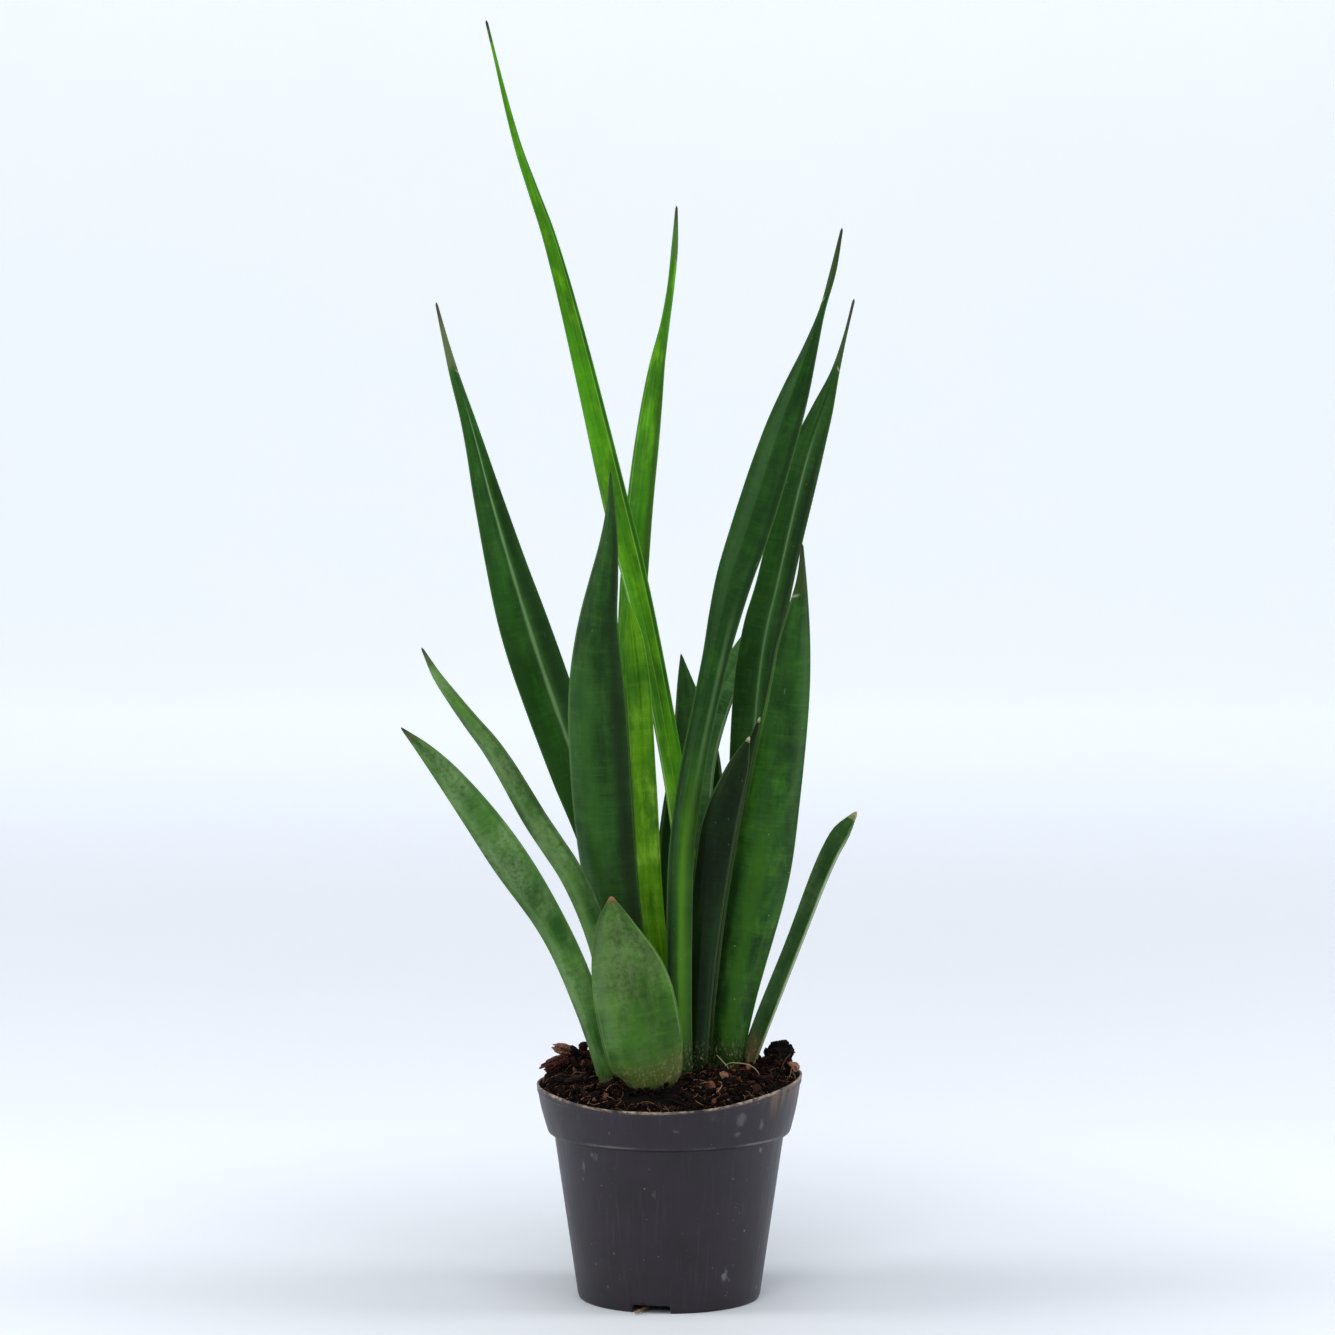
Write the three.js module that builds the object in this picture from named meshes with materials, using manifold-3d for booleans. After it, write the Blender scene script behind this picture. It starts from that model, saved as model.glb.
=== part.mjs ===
// Potted snake plant: a clump of sixteen leaves in a round nursery pot full of bark mix.
// Millimetres, +Z up, +X to the right, +Y to the back.
// The origin is the middle of the plant's box, on the surface that it stands on. The numbers
// below are from the pot's axis, and the last step moves the whole plant to its origin.
import * as THREE from 'three';
import { mergeVertices } from 'three/addons/utils/BufferGeometryUtils.js';
import Module from 'manifold-3d';

const wasm = await Module();
wasm.setup();

// ---- Driving dimensions -------------------------------------------------------------------
const RIM_RADIUS = 60;        // outer radius at the lip
const RIM_HEIGHT = 96.5;      // mean height of the lip
const RIM_WAVE = 2.9;         // the soft lip is this much higher at the sides than the mean
const RIM_TILT = 2.15;        // and this much higher again at +X, lower at -X
const COLLAR_HEIGHT = 75.3;   // the collar steps out here
const COLLAR_RADIUS = 54.9;   // outer radius at the bottom of the collar
const BODY_RADIUS = 51.8;     // outer radius just under the collar
const FOOT_RADIUS = 41;       // outer radius at the floor
const WALL = 1.5;
const FLOOR_UNDERSIDE = 4.4;  // the pot's floor is raised on a foot ring
const FLOOR_TOP = 6;
const POT_SEGMENTS = 56;
const HOLES = 6;              // in a ring round the middle one
const NOTCHES = 3;            // in the foot ring, to let the water out
const NOTCH_WIDTH = 17.5;
const NOTCH_HEIGHT = 3.4;
const HOLE_RADIUS = 4;
const HOLE_RING = 30;
const DRAIN_PHASE = THREE.MathUtils.degToRad(-101.4);

const GAP = 0.35;             // clearance between pieces that touch
const FIT = GAP + 0.05;       // how far a socket stands off the piece in it

const SOIL_EDGE = 94.4;       // height at the pot wall, before the lip's rise and fall
const SOIL_CROWN = 104.5;     // height at the middle of the mound
const SOIL_SEGMENTS = 32;

const LEAF_FOOT = 80;         // every leaf starts here, on its rhizome
const LEAF_EDGE = 0.9;        // thickness at a leaf's margin
const SECTION = [-1, -0.5, 0, 0.5, 1];   // places across a leaf, margin to margin

// ---- Colours ------------------------------------------------------------------------------
const COLOURS = {
  young: 0x4f8f17,
  deep: 0x1c4a1e,
  dusty: 0x3c6b3a,
  pot: 0x3b383d,
  soil: 0x21150f,
  bark: 0x3a2216,
  root: 0xb59a6c,
};

// Each leaf: its route from the foot to the tip as [x, y, z, width]; `facing` is the compass
// angle that its channelled inner face looks to, at the foot and at the tip; `fold` is the
// channel's depth as a share of the half width, at the foot and at the tip.
const LEAVES = {
  leaf_tallest: {
    colour: 'young', facing: [-80, -75], fold: [0.7, 0.3], thickness: 3.2,
    route: [
      [18, 8, LEAF_FOOT, 8], [18, 9, 106, 8.5], [11, 11, 165, 9], [1, 17, 240, 9.5],
      [-13.5, 22, 314, 10.5], [-22.5, 25, 350, 11.5], [-36, 28, 407, 9.4], [-54.5, 30, 479, 5.7],
      [-68, 30, 518, 3], [-82.6, 30, 576, 0],
    ],
  },
  leaf_bright_back: {
    colour: 'young', facing: [-75, -65], fold: [0.6, 0.3], thickness: 3.2,
    route: [
      [-6, 9, LEAF_FOOT, 8], [-6, 11, 105, 9], [-17, 17, 200, 10.5], [-19, 26, 268, 11.5],
      [-16, 36, 331, 12.6], [-9.5, 48, 394, 10.5], [-4.5, 56, 428, 5.8], [-1, 60, 444, 3.4],
      [3, 66, 480, 2.2], [3.5, 68, 494, 0],
    ],
  },
  leaf_young_centre: {
    colour: 'young', facing: [-85, -80], fold: [0.8, 0.3], thickness: 3,
    route: [
      [-4, 4, LEAF_FOOT, 8], [-1, 6, 104, 9], [-8, 3, 178, 10], [-12, 0, 243, 10.4],
      [-14, -2, 280, 9.8], [-16.5, -4, 303, 6.5], [-18, -5, 315, 0],
    ],
  },
  leaf_broad_left: {
    colour: 'deep', facing: [72, 78], fold: [0.5, 0.25], thickness: 3.6,
    route: [
      [-12, -2, LEAF_FOOT, 12], [-13, -3, 106, 19], [-24.3, -5, 167, 24], [-32.6, -16, 257, 27],
      [-32.9, -21, 280, 24.5], [-31.6, -26, 307, 17], [-28.5, -29, 329, 11.5],
      [-26, -32, 350, 5.5], [-25.7, -34, 374, 0],
    ],
  },
  leaf_tall_left: {
    colour: 'deep', facing: [-72, -66], fold: [0.5, 0.3], thickness: 3.4,
    route: [
      [-12, 13, LEAF_FOOT, 9], [-14, 17, 105, 12], [-23, 22, 169, 18], [-32.5, 26, 207, 21],
      [-47, 30, 244, 23], [-63.4, 37, 290, 24.2], [-83.3, 47, 359, 13.5], [-91.3, 52, 391, 7.2],
      [-99.5, 56, 419, 3.8], [-107.2, 60, 449.5, 0],
    ],
  },
  leaf_arching_left: {
    colour: 'dusty', facing: [78, 80], fold: [0.5, 0.3], thickness: 3,
    route: [
      [-19, -9, LEAF_FOOT, 7], [-23.5, -13, 110, 9], [-29, -15, 154, 10], [-42.3, -15, 190, 10.5],
      [-59.2, -10, 216, 10.5], [-78.2, -4, 247, 8.6], [-90.3, 0, 262, 6.6],
      [-105.6, 6, 282.5, 3.2], [-111.7, 10, 293.5, 0],
    ],
  },
  leaf_low_left: {
    colour: 'dusty', facing: [75, 82], fold: [0.5, 0.25], thickness: 3.2,
    route: [
      [-23, -14, LEAF_FOOT, 8], [-30, -19, 112, 10], [-36, -22, 133, 12], [-50.2, -28, 168, 13],
      [-72, -39, 204, 16.4], [-94, -50, 236.5, 11.6], [-105, -55, 250.5, 7], [-117, -60, 263, 0],
    ],
  },
  leaf_short_front: {
    colour: 'dusty', facing: [90, 90], fold: [0.4, 0.25], thickness: 3.2,
    route: [
      [-9, -25, LEAF_FOOT, 8], [-8.6, -32, 98, 14], [-8.4, -34, 104, 26.5], [-10.7, -36, 113, 33],
      [-13.4, -37, 129, 35.5], [-16.7, -37.5, 147, 34], [-20.8, -37, 161, 27],
      [-23.9, -36, 172, 17.2], [-25, -35, 180.5, 9], [-25.7, -34, 186, 0],
    ],
  },
  leaf_tall_right: {
    colour: 'deep', facing: [80, 72], fold: [0.6, 0.3], thickness: 3.4,
    route: [
      [7, -12, LEAF_FOOT, 8], [5.5, -14, 103, 9], [4.3, -16, 165, 11], [6, -17, 213, 11],
      [20.2, -20, 290, 11.6], [27.5, -21, 323, 15.6], [37, -22, 352, 17.4], [51, -24, 396, 14.6],
      [60.5, -24, 423, 7.8], [65.5, -25, 438, 3], [74.5, -25, 471, 1.8], [76.2, -25, 481, 0],
    ],
  },
  leaf_tall_right_back: {
    colour: 'deep', facing: [-100, -106], fold: [0.5, 0.3], thickness: 3.2,
    route: [
      [25, 10, LEAF_FOOT, 7], [28.5, 11, 108, 8], [34.5, 17, 200, 14.5], [42, 29, 293, 19.3],
      [47.7, 33, 317, 16.6], [63.5, 44, 381, 14.4], [71, 48, 402, 8.8], [77, 51, 420, 2.8],
      [85, 56, 451, 0],
    ],
  },
  leaf_broad_right: {
    colour: 'deep', facing: [104, 98], fold: [0.5, 0.3], thickness: 3.6,
    route: [
      [23, 0, LEAF_FOOT, 10], [26.6, 0, 107, 13.8], [30.4, -1, 134, 18.6], [41.2, -5, 189, 26.1],
      [47.4, -8, 230, 24.4], [53.6, -13, 272, 18.8], [56.2, -16, 302, 13], [58.6, -18, 320, 5.4],
      [59, -19, 334, 2], [59.1, -20, 341.5, 0],
    ],
  },
  leaf_nested_right: {
    colour: 'deep', facing: [88, 84], fold: [0.5, 0.3], thickness: 2.8,
    route: [
      [13.6, -1.8, LEAF_FOOT, 8], [14, -3, 109, 9], [16, -6.8, 153, 13], [21.5, -10.8, 201, 15],
      [26, -12.6, 222, 12.8], [32, -13.4, 238, 7.2], [40.6, -14, 264, 0],
    ],
  },
  leaf_nested_front: {
    colour: 'deep', facing: [84, 80], fold: [0.5, 0.25], thickness: 2.8,
    route: [
      [12, -7, LEAF_FOOT, 7], [12.5, -8, 109, 8.5], [14.5, -11, 154, 12.5], [19.5, -16, 201, 15.5],
      [22.4, -18, 218, 15.4], [26.3, -20, 230, 12.5], [31, -21, 243, 8.5], [35.8, -22, 256, 0],
    ],
  },
  leaf_dark_back: {
    colour: 'deep', facing: [-88, -85], fold: [0.4, 0.25], thickness: 3.4,
    route: [
      [6, 21, LEAF_FOOT, 9], [5, 25, 106, 14], [7, 30, 153, 20], [9, 36, 199, 28],
      [12, 42, 230, 25], [11, 46, 253, 17.5], [8, 50, 271, 8.8], [5.5, 53, 288, 0],
    ],
  },
  leaf_narrow_back: {
    colour: 'deep', facing: [-95, -95], fold: [0.5, 0.3], thickness: 2.8,
    route: [
      [12, 16, LEAF_FOOT, 7], [12, 19, 107, 8], [10.5, 25, 155, 10], [12.5, 31, 200, 12],
      [14.5, 37, 238, 13], [20, 40, 261, 13.5], [29.5, 43, 282, 10], [36.8, 44.5, 296, 6],
      [40.5, 45, 305, 0],
    ],
  },
  leaf_folded_right: {
    colour: 'dusty', facing: [-135, -140], fold: [0.8, 0.9], thickness: 2.6,
    route: [
      [28, 5, LEAF_FOOT, 8], [38.8, 6, 111, 8.6], [44.2, 7.5, 125, 8.8], [57.9, 13, 159, 8.6],
      [72.9, 18, 196, 9.6], [77.6, 19, 205, 9.2], [83, 20, 214, 6.4], [85.3, 20, 218.2, 0],
    ],
  },
};

// Two creeping stems under the soil carry the leaves: [x, y, z, radius] along each, and the
// roots that hang from it.
const RHIZOMES = {
  rhizome_left: {
    route: [
      [-16, -30, 74, 4], [-15, -25, 74, 9], [-14, -8, 74, 10], [-10, 10, 74, 9.5], [-9, 16, 74, 5],
    ],
    roots: [[-18, -18], [-10, -2], [-12, 9]],
  },
  rhizome_right: {
    route: [
      [8, -17, 74, 4], [10, -12, 74, 8], [21, 2, 74, 10], [15, 17, 74, 9], [11, 25, 74, 4],
    ],
    roots: [[14, -6], [24, 5], [15, 16]],
  },
};
const ROOT_RADIUS = 1.5;
const ROOT_END = 30;

// One root has grown out through a drain hole and a notch: [x, y, z, radius].
const DRAIN_ROOT = [
  [-6.4, -28, 17, 1], [-6.4, -28.4, 7, 1], [-7.4, -31.5, 3.2, 0.95], [-11, -38.5, 2, 0.9],
  [-15, -43.8, 1.2, 0.7],
];

// Pieces of bark on the mound: centre, size and turn about +Z in degrees.
const CHIPS = [
  { place: [-48, 20, 109], size: [13.5, 9, 6], turn: 12 },
  { place: [-51.5, 8, 104.6], size: [16, 13, 6.6], turn: -12 },
  { place: [-38.5, 25, 104.6], size: [11, 9, 8], turn: 35 },
  { place: [50.8, 11, 108.8], size: [15, 12.5, 14.5], turn: 15 },
  { place: [56, 0.5, 104], size: [6, 7, 5], turn: 60 },
  { place: [24.6, -21, 103.4], size: [4.6, 4.2, 4.4], turn: 0 },
  { place: [-42, -16, 100.4], size: [14, 9, 5], turn: 40 },
  { place: [43, -17, 101], size: [12, 9, 5], turn: -35 },
  { place: [-39, 20, 110.6], size: [5.6, 5, 4.8], turn: 0 },
];

// ---- Solids -------------------------------------------------------------------------------

/** A closed solid from rings of points, each the same length and running the same way. */
function loft(rings, startPoint, endPoint) {
  const count = rings[0].length;
  const points = [...rings.flat(), startPoint, endPoint];
  const start = points.length - 2;
  const end = points.length - 1;
  const last = (rings.length - 1) * count;
  const index = [];
  for (let j = 0; j < count; j += 1) {
    const next = (j + 1) % count;
    index.push(start, next, j);
    index.push(end, last + j, last + next);
    for (let i = 0; i < rings.length - 1; i += 1) {
      const low = i * count;
      const high = low + count;
      index.push(low + j, low + next, high + next);
      index.push(low + j, high + next, high + j);
    }
  }
  const geometry = new THREE.BufferGeometry().setFromPoints(points);
  geometry.setIndex(index);
  return geometry;
}

/** Smooth interpolation of rows of numbers by distance along their first three. */
function alongRoute(route) {
  const distances = [0];
  for (let i = 1; i < route.length; i += 1) {
    const step = new THREE.Vector3(...route[i]).distanceTo(new THREE.Vector3(...route[i - 1]));
    distances.push(distances[i - 1] + step);
  }
  const width = route[0].length;
  const curve = new THREE.CubicInterpolant(distances, route.flat(), width, new Float64Array(width));
  const length = distances[distances.length - 1];
  const at = (s) => Array.from(curve.evaluate(s));
  const place = (s) => new THREE.Vector3(...at(THREE.MathUtils.clamp(s, 0, length)));
  const tangent = (s) => place(s + 1).sub(place(s - 1)).normalize();
  return { length, at, place, tangent };
}

/** A leaf: a channelled blade, thick in the middle, lofted along its route; `grow` swells it. */
function leafGeometry({ route, facing, fold, thickness }, grow = 0) {
  const path = alongRoute(route);
  const stations = 11 + Math.round(path.length / 32);
  const tipRing = 1.5;
  const rings = [];
  const foot = new THREE.Vector3();
  for (let i = 0; i < stations; i += 1) {
    const share = i / (stations - 1);
    const s = share * (path.length - tipRing);
    const centre = path.place(s);
    const tangent = path.tangent(s);
    const angle = THREE.MathUtils.degToRad(THREE.MathUtils.lerp(facing[0], facing[1], share));
    const inward = new THREE.Vector3(Math.cos(angle), Math.sin(angle), 0);
    inward.addScaledVector(tangent, -inward.dot(tangent)).normalize();
    const across = new THREE.Vector3().crossVectors(tangent, inward);
    const half = Math.max(path.at(s)[3] / 2, 0.35);
    const middle = Math.min(thickness, Math.max(1.7 * half, 0.7));
    const edge = Math.min(LEAF_EDGE, middle);
    const channel = half * THREE.MathUtils.lerp(fold[0], fold[1], share) * Math.min(1, half / 3);
    const face = (u, side) => {
      const depth = edge + (middle - edge) * (1 - u * u);
      const offset = channel * (u * u - 0.4) + side * (depth / 2 + grow);
      return centre.clone().addScaledVector(across, u * (half + grow)).addScaledVector(inward, offset);
    };
    const inner = SECTION.map((u) => face(u, 1));
    const outer = SECTION.map((u) => face(-u, -1));
    rings.push([...inner, ...outer]);
    if (i === 0) {
      rings[0].forEach((point) => point.addScaledVector(tangent, -grow));
      foot.lerpVectors(face(0, 1), face(0, -1), 0.5).addScaledVector(tangent, -0.3 - grow);
    }
  }
  const tip = path.place(path.length).addScaledVector(path.tangent(path.length), grow);
  return loft(rings, foot, tip);
}

/** A round stem along a route of [x, y, z, radius] rows; `grow` swells it. */
function stemGeometry(route, sides, spacing, grow = 0) {
  const path = alongRoute(route);
  const stations = 1 + Math.ceil(path.length / spacing);
  const rings = [];
  for (let i = 0; i < stations; i += 1) {
    const s = path.length * i / (stations - 1);
    const tangent = path.tangent(s);
    const side = new THREE.Vector3(0.3, 0.1, 0.95).cross(tangent).normalize();
    const up = new THREE.Vector3().crossVectors(tangent, side);
    const radius = path.at(s)[3] + grow;
    rings.push(Array.from({ length: sides }, (unused, j) => {
      const turn = 2 * Math.PI * j / sides;
      const spoke = side.clone().multiplyScalar(Math.cos(turn)).addScaledVector(up, Math.sin(turn));
      return path.place(s).addScaledVector(spoke, radius);
    }));
  }
  const cap = 0.3 * route[0][3] + grow;
  const start = path.place(0).addScaledVector(path.tangent(0), -cap);
  const end = path.place(path.length).addScaledVector(path.tangent(path.length), cap);
  return loft(rings, start, end);
}

/** An angular lump of bark, unequal on every side; `grow` swells it. */
function chipGeometry({ place, size, turn }, seed, grow = 0) {
  const geometry = new THREE.IcosahedronGeometry(1, 1);
  const position = geometry.attributes.position;
  const point = new THREE.Vector3();
  const half = new THREE.Vector3(...size).multiplyScalar(0.5).addScalar(grow);
  const squared = (value) => Math.sign(value) * Math.abs(value) ** 0.75;
  for (let i = 0; i < position.count; i += 1) {
    point.fromBufferAttribute(position, i);
    const ripple = Math.sin(5 * point.x + 3 * seed) + Math.sin(4 * point.y - 4 * point.z + seed);
    point.set(squared(point.x), squared(point.y), squared(point.z));
    point.multiplyScalar(0.9 + 0.081 * ripple).multiply(half);
    position.setXYZ(i, point.x, point.y, point.z);
  }
  geometry.rotateY(0.35 * Math.sin(2.3 * seed));
  geometry.rotateZ(THREE.MathUtils.degToRad(turn));
  geometry.translate(...place);
  return geometry;
}

/** Any closed geometry as a solid that can be joined and cut. */
function solid(geometry) {
  const bare = geometry.clone();
  bare.deleteAttribute('normal');
  bare.deleteAttribute('uv');
  const merged = mergeVertices(bare, 1e-4);
  return new wasm.Manifold(new wasm.Mesh({
    numProp: 3,
    vertProperties: new Float32Array(merged.attributes.position.array),
    triVerts: new Uint32Array(merged.index.array),
  }));
}

/** A solid back as a geometry. */
function geometryOf(body) {
  const mesh = body.getMesh();
  const geometry = new THREE.BufferGeometry();
  geometry.setAttribute('position', new THREE.BufferAttribute(mesh.vertProperties, 3));
  geometry.setIndex(new THREE.BufferAttribute(mesh.triVerts, 1));
  return geometry;
}

/** Cuts each of the tools from a solid. */
function cut(body, tools) {
  return tools.reduce((rest, tool) => rest.subtract(tool), body);
}

// ---- Pot ----------------------------------------------------------------------------------

/** How far the soft lip rises above its mean height at a place on the collar. */
function lipRise(x, y, z) {
  const share = THREE.MathUtils.smoothstep(z, COLLAR_HEIGHT + 2, RIM_HEIGHT);
  const angle = Math.atan2(y, x);
  return share * (RIM_WAVE * Math.cos(2 * angle) + RIM_TILT * Math.cos(angle));
}

/** The inside of the pot wall as [radius, height], from the lip down to the floor. */
function innerWall() {
  return [
    [RIM_RADIUS - WALL + 0.2, RIM_HEIGHT - 0.4],
    [COLLAR_RADIUS - WALL + 0.1, COLLAR_HEIGHT + 2.2],
    [BODY_RADIUS - WALL, COLLAR_HEIGHT - 2],
    [FOOT_RADIUS - WALL + 0.8, FLOOR_TOP + 1],
    [FOOT_RADIUS - WALL - 0.3, FLOOR_TOP],
  ];
}

function potGeometry() {
  const profile = [
    [0, FLOOR_UNDERSIDE],
    [FOOT_RADIUS - 2.6, FLOOR_UNDERSIDE],
    [FOOT_RADIUS - 2.2, 0],
    [FOOT_RADIUS - 0.5, 0],
    [FOOT_RADIUS + 0.1, 0.8],
    [BODY_RADIUS, COLLAR_HEIGHT - 1.3],
    [BODY_RADIUS + 0.7, COLLAR_HEIGHT - 0.4],
    [COLLAR_RADIUS - 0.7, COLLAR_HEIGHT],
    [COLLAR_RADIUS, COLLAR_HEIGHT + 0.8],
    [COLLAR_RADIUS + 3, COLLAR_HEIGHT + 11],
    [RIM_RADIUS, RIM_HEIGHT - 0.4],
    [RIM_RADIUS - 0.6, RIM_HEIGHT],
    ...innerWall(),
    [0, FLOOR_TOP],
  ];
  const geometry = new THREE.LatheGeometry(profile.map(([r, z]) => new THREE.Vector2(r, z)), POT_SEGMENTS);
  geometry.rotateX(Math.PI / 2);
  const position = geometry.attributes.position;
  for (let i = 0; i < position.count; i += 1) {
    const [x, y, z] = [position.getX(i), position.getY(i), position.getZ(i)];
    position.setZ(i, z + lipRise(x, y, z));
  }
  return geometry;
}

/** What is cut from the pot: the drain holes in its floor and the notches in its foot ring. */
function drainTools() {
  const hole = new THREE.CylinderGeometry(HOLE_RADIUS, HOLE_RADIUS, 4, 12).rotateX(Math.PI / 2);
  const notch = new THREE.BoxGeometry(8, NOTCH_WIDTH, 2 * NOTCH_HEIGHT);
  const floorMiddle = (FLOOR_UNDERSIDE + FLOOR_TOP) / 2;
  const tools = [solid(hole.clone().translate(0, 0, floorMiddle))];
  for (let i = 0; i < HOLES; i += 1) {
    const angle = DRAIN_PHASE + 2 * Math.PI * i / HOLES;
    tools.push(solid(hole.clone().translate(HOLE_RING, 0, floorMiddle).rotateZ(angle)));
  }
  for (let i = 0; i < NOTCHES; i += 1) {
    const angle = DRAIN_PHASE + 2 * Math.PI * i / NOTCHES;
    tools.push(solid(notch.clone().translate(FOOT_RADIUS, 0, 0).rotateZ(angle)));
  }
  return tools;
}

// ---- Soil ---------------------------------------------------------------------------------

/** Height of the mound above its edge at a share of the radius, with heaps at both sides. */
function moundRise(x, y, share) {
  const dome = (SOIL_CROWN - SOIL_EDGE) * (1 - share ** 2.2);
  const lumps = 0.8 * Math.sin(0.21 * x + 1) * Math.cos(0.17 * y - 0.5) * (1 - share ** 6);
  const heapAt = (cx, cy) => 6.5 * Math.exp(-((x - cx) ** 2 + (y - cy) ** 2) / 120);
  return dome + lumps + heapAt(-47, 14) + heapAt(49, 9);
}

/** The filling of the pot, standing off its wall and floor by the gap. */
function soilGeometry() {
  const wall = innerWall().reverse();
  wall[0] = [wall[0][0] - 0.6, wall[0][1] + GAP];
  const [collar, lip] = wall.slice(-2);
  const edgeShare = (SOIL_EDGE - collar[1]) / (lip[1] - collar[1]);
  wall[wall.length - 1] = [THREE.MathUtils.lerp(collar[0], lip[0], edgeShare), SOIL_EDGE];
  const edgeRadius = wall[wall.length - 1][0] - GAP;
  const spokes = Array.from({ length: SOIL_SEGMENTS }, (unused, j) => 2 * Math.PI * j / SOIL_SEGMENTS);
  const ringAt = (radius, height) => spokes.map((angle) => {
    const [x, y] = [radius * Math.cos(angle), radius * Math.sin(angle)];
    return new THREE.Vector3(x, y, height + lipRise(x, y, height));
  });
  const sides = wall.map(([radius, height]) => ringAt(radius - GAP, height));
  const top = [0.94, 0.84, 0.7, 0.52, 0.32, 0.14].map((share) => (
    ringAt(edgeRadius * share, SOIL_EDGE).map((point) => {
      const settle = THREE.MathUtils.lerp(SOIL_EDGE, point.z, share ** 2);
      return point.setZ(settle + moundRise(point.x, point.y, share));
    })
  ));
  const bottom = new THREE.Vector3(0, 0, wall[0][1]);
  const crown = new THREE.Vector3(0, 0, SOIL_EDGE + moundRise(0, 0, 0));
  return loft([...sides, ...top], bottom, crown);
}

// ---- Assembly -----------------------------------------------------------------------------

const plant = new THREE.Group();
plant.name = 'potted_snake_plant';

function add(name, geometry, colour, roughness) {
  const material = new THREE.MeshStandardMaterial({ color: colour, roughness, metalness: 0 });
  const mesh = new THREE.Mesh(geometry, material);
  mesh.name = name;
  plant.add(mesh);
}

function rootRoute([x, y]) {
  return [[x, y, 72, ROOT_RADIUS], [1.15 * x, y, 58, ROOT_RADIUS], [0.9 * x, 1.2 * y, 44, ROOT_RADIUS],
    [1.1 * x, y, ROOT_END, ROOT_RADIUS / 2]];
}

function rhizomeSolid({ route, roots }, grow = 0) {
  const stem = solid(stemGeometry(route, 10, 8, grow));
  const threads = roots.map((root) => solid(stemGeometry(rootRoute(root), 5, 14, grow)));
  return threads.reduce((all, thread) => all.add(thread), stem);
}

const leafSockets = Object.values(LEAVES).map((leaf) => solid(leafGeometry(leaf, FIT)));
const chipSockets = CHIPS.map((chip, i) => solid(chipGeometry(chip, i + 1, FIT)));
const rhizomeSockets = Object.values(RHIZOMES).map((rhizome) => rhizomeSolid(rhizome, FIT));
const drainSocket = solid(stemGeometry(DRAIN_ROOT, 6, 3.5, FIT));

for (const [name, leaf] of Object.entries(LEAVES)) {
  add(name, leafGeometry(leaf), COLOURS[leaf.colour], 0.42);
}
for (const [name, rhizome] of Object.entries(RHIZOMES)) {
  add(name, geometryOf(cut(rhizomeSolid(rhizome), leafSockets)), COLOURS.root, 0.8);
}
CHIPS.forEach((chip, i) => add(`bark_chip_${i + 1}`, chipGeometry(chip, i + 1), COLOURS.bark, 0.9));
add('drain_root', stemGeometry(DRAIN_ROOT, 6, 3.5), COLOURS.root, 0.8);
const soilTools = [...leafSockets, ...chipSockets, ...rhizomeSockets, drainSocket];
add('soil', geometryOf(cut(solid(soilGeometry()), soilTools)), COLOURS.soil, 0.95);
add('pot', geometryOf(cut(solid(potGeometry()), drainTools())), COLOURS.pot, 0.45);

const middle = new THREE.Box3().setFromObject(plant).getCenter(new THREE.Vector3());
plant.children.forEach((mesh) => mesh.geometry.translate(-middle.x, -middle.y, 0));

export default plant;
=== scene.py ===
"""The looks of a potted snake plant: sixteen leaves in bark mix, in a thin round nursery pot.

Metres, +Z up, +X to the right, +Y to the back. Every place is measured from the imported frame.
"""

import math

import bmesh
import bpy
import numpy as np
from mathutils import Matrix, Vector


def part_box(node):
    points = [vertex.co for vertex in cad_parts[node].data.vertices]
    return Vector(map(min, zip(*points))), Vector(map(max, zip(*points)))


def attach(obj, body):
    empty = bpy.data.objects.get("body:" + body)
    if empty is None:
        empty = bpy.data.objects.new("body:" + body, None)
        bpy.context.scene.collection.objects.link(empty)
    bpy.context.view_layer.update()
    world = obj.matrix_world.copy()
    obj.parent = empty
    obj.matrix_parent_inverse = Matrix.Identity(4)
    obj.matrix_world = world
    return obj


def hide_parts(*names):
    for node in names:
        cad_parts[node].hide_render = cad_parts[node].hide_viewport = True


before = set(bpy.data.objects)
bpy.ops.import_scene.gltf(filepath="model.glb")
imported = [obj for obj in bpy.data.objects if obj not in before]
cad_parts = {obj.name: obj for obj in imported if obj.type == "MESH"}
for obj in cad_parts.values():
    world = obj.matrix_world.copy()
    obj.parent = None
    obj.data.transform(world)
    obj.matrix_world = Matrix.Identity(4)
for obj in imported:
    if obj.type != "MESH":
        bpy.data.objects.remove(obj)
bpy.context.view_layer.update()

MM = 0.001
POT_LOW, POT_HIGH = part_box("pot")
AXIS = np.array([(POT_LOW.x + POT_HIGH.x) / 2, (POT_LOW.y + POT_HIGH.y) / 2])
LIP_WAVE = 2.9 * MM           # the soft lip is this much higher at the sides than its mean
LIP_TILT = 2.15 * MM          # and this much higher again at +X, lower at -X
LIP_HEIGHT = POT_HIGH.z - LIP_WAVE - LIP_TILT


# ---- Finishes -----------------------------------------------------------------------------

def tint(code):
    """A colour written as six hexadecimal digits, as linear red, green, blue and alpha."""
    parts = np.array([int(code[i:i + 2], 16) for i in (0, 2, 4)]) / 255
    linear = np.where(parts <= 0.04045, parts / 12.92, ((parts + 0.055) / 1.055) ** 2.4)
    return (*linear, 1.0)


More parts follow.
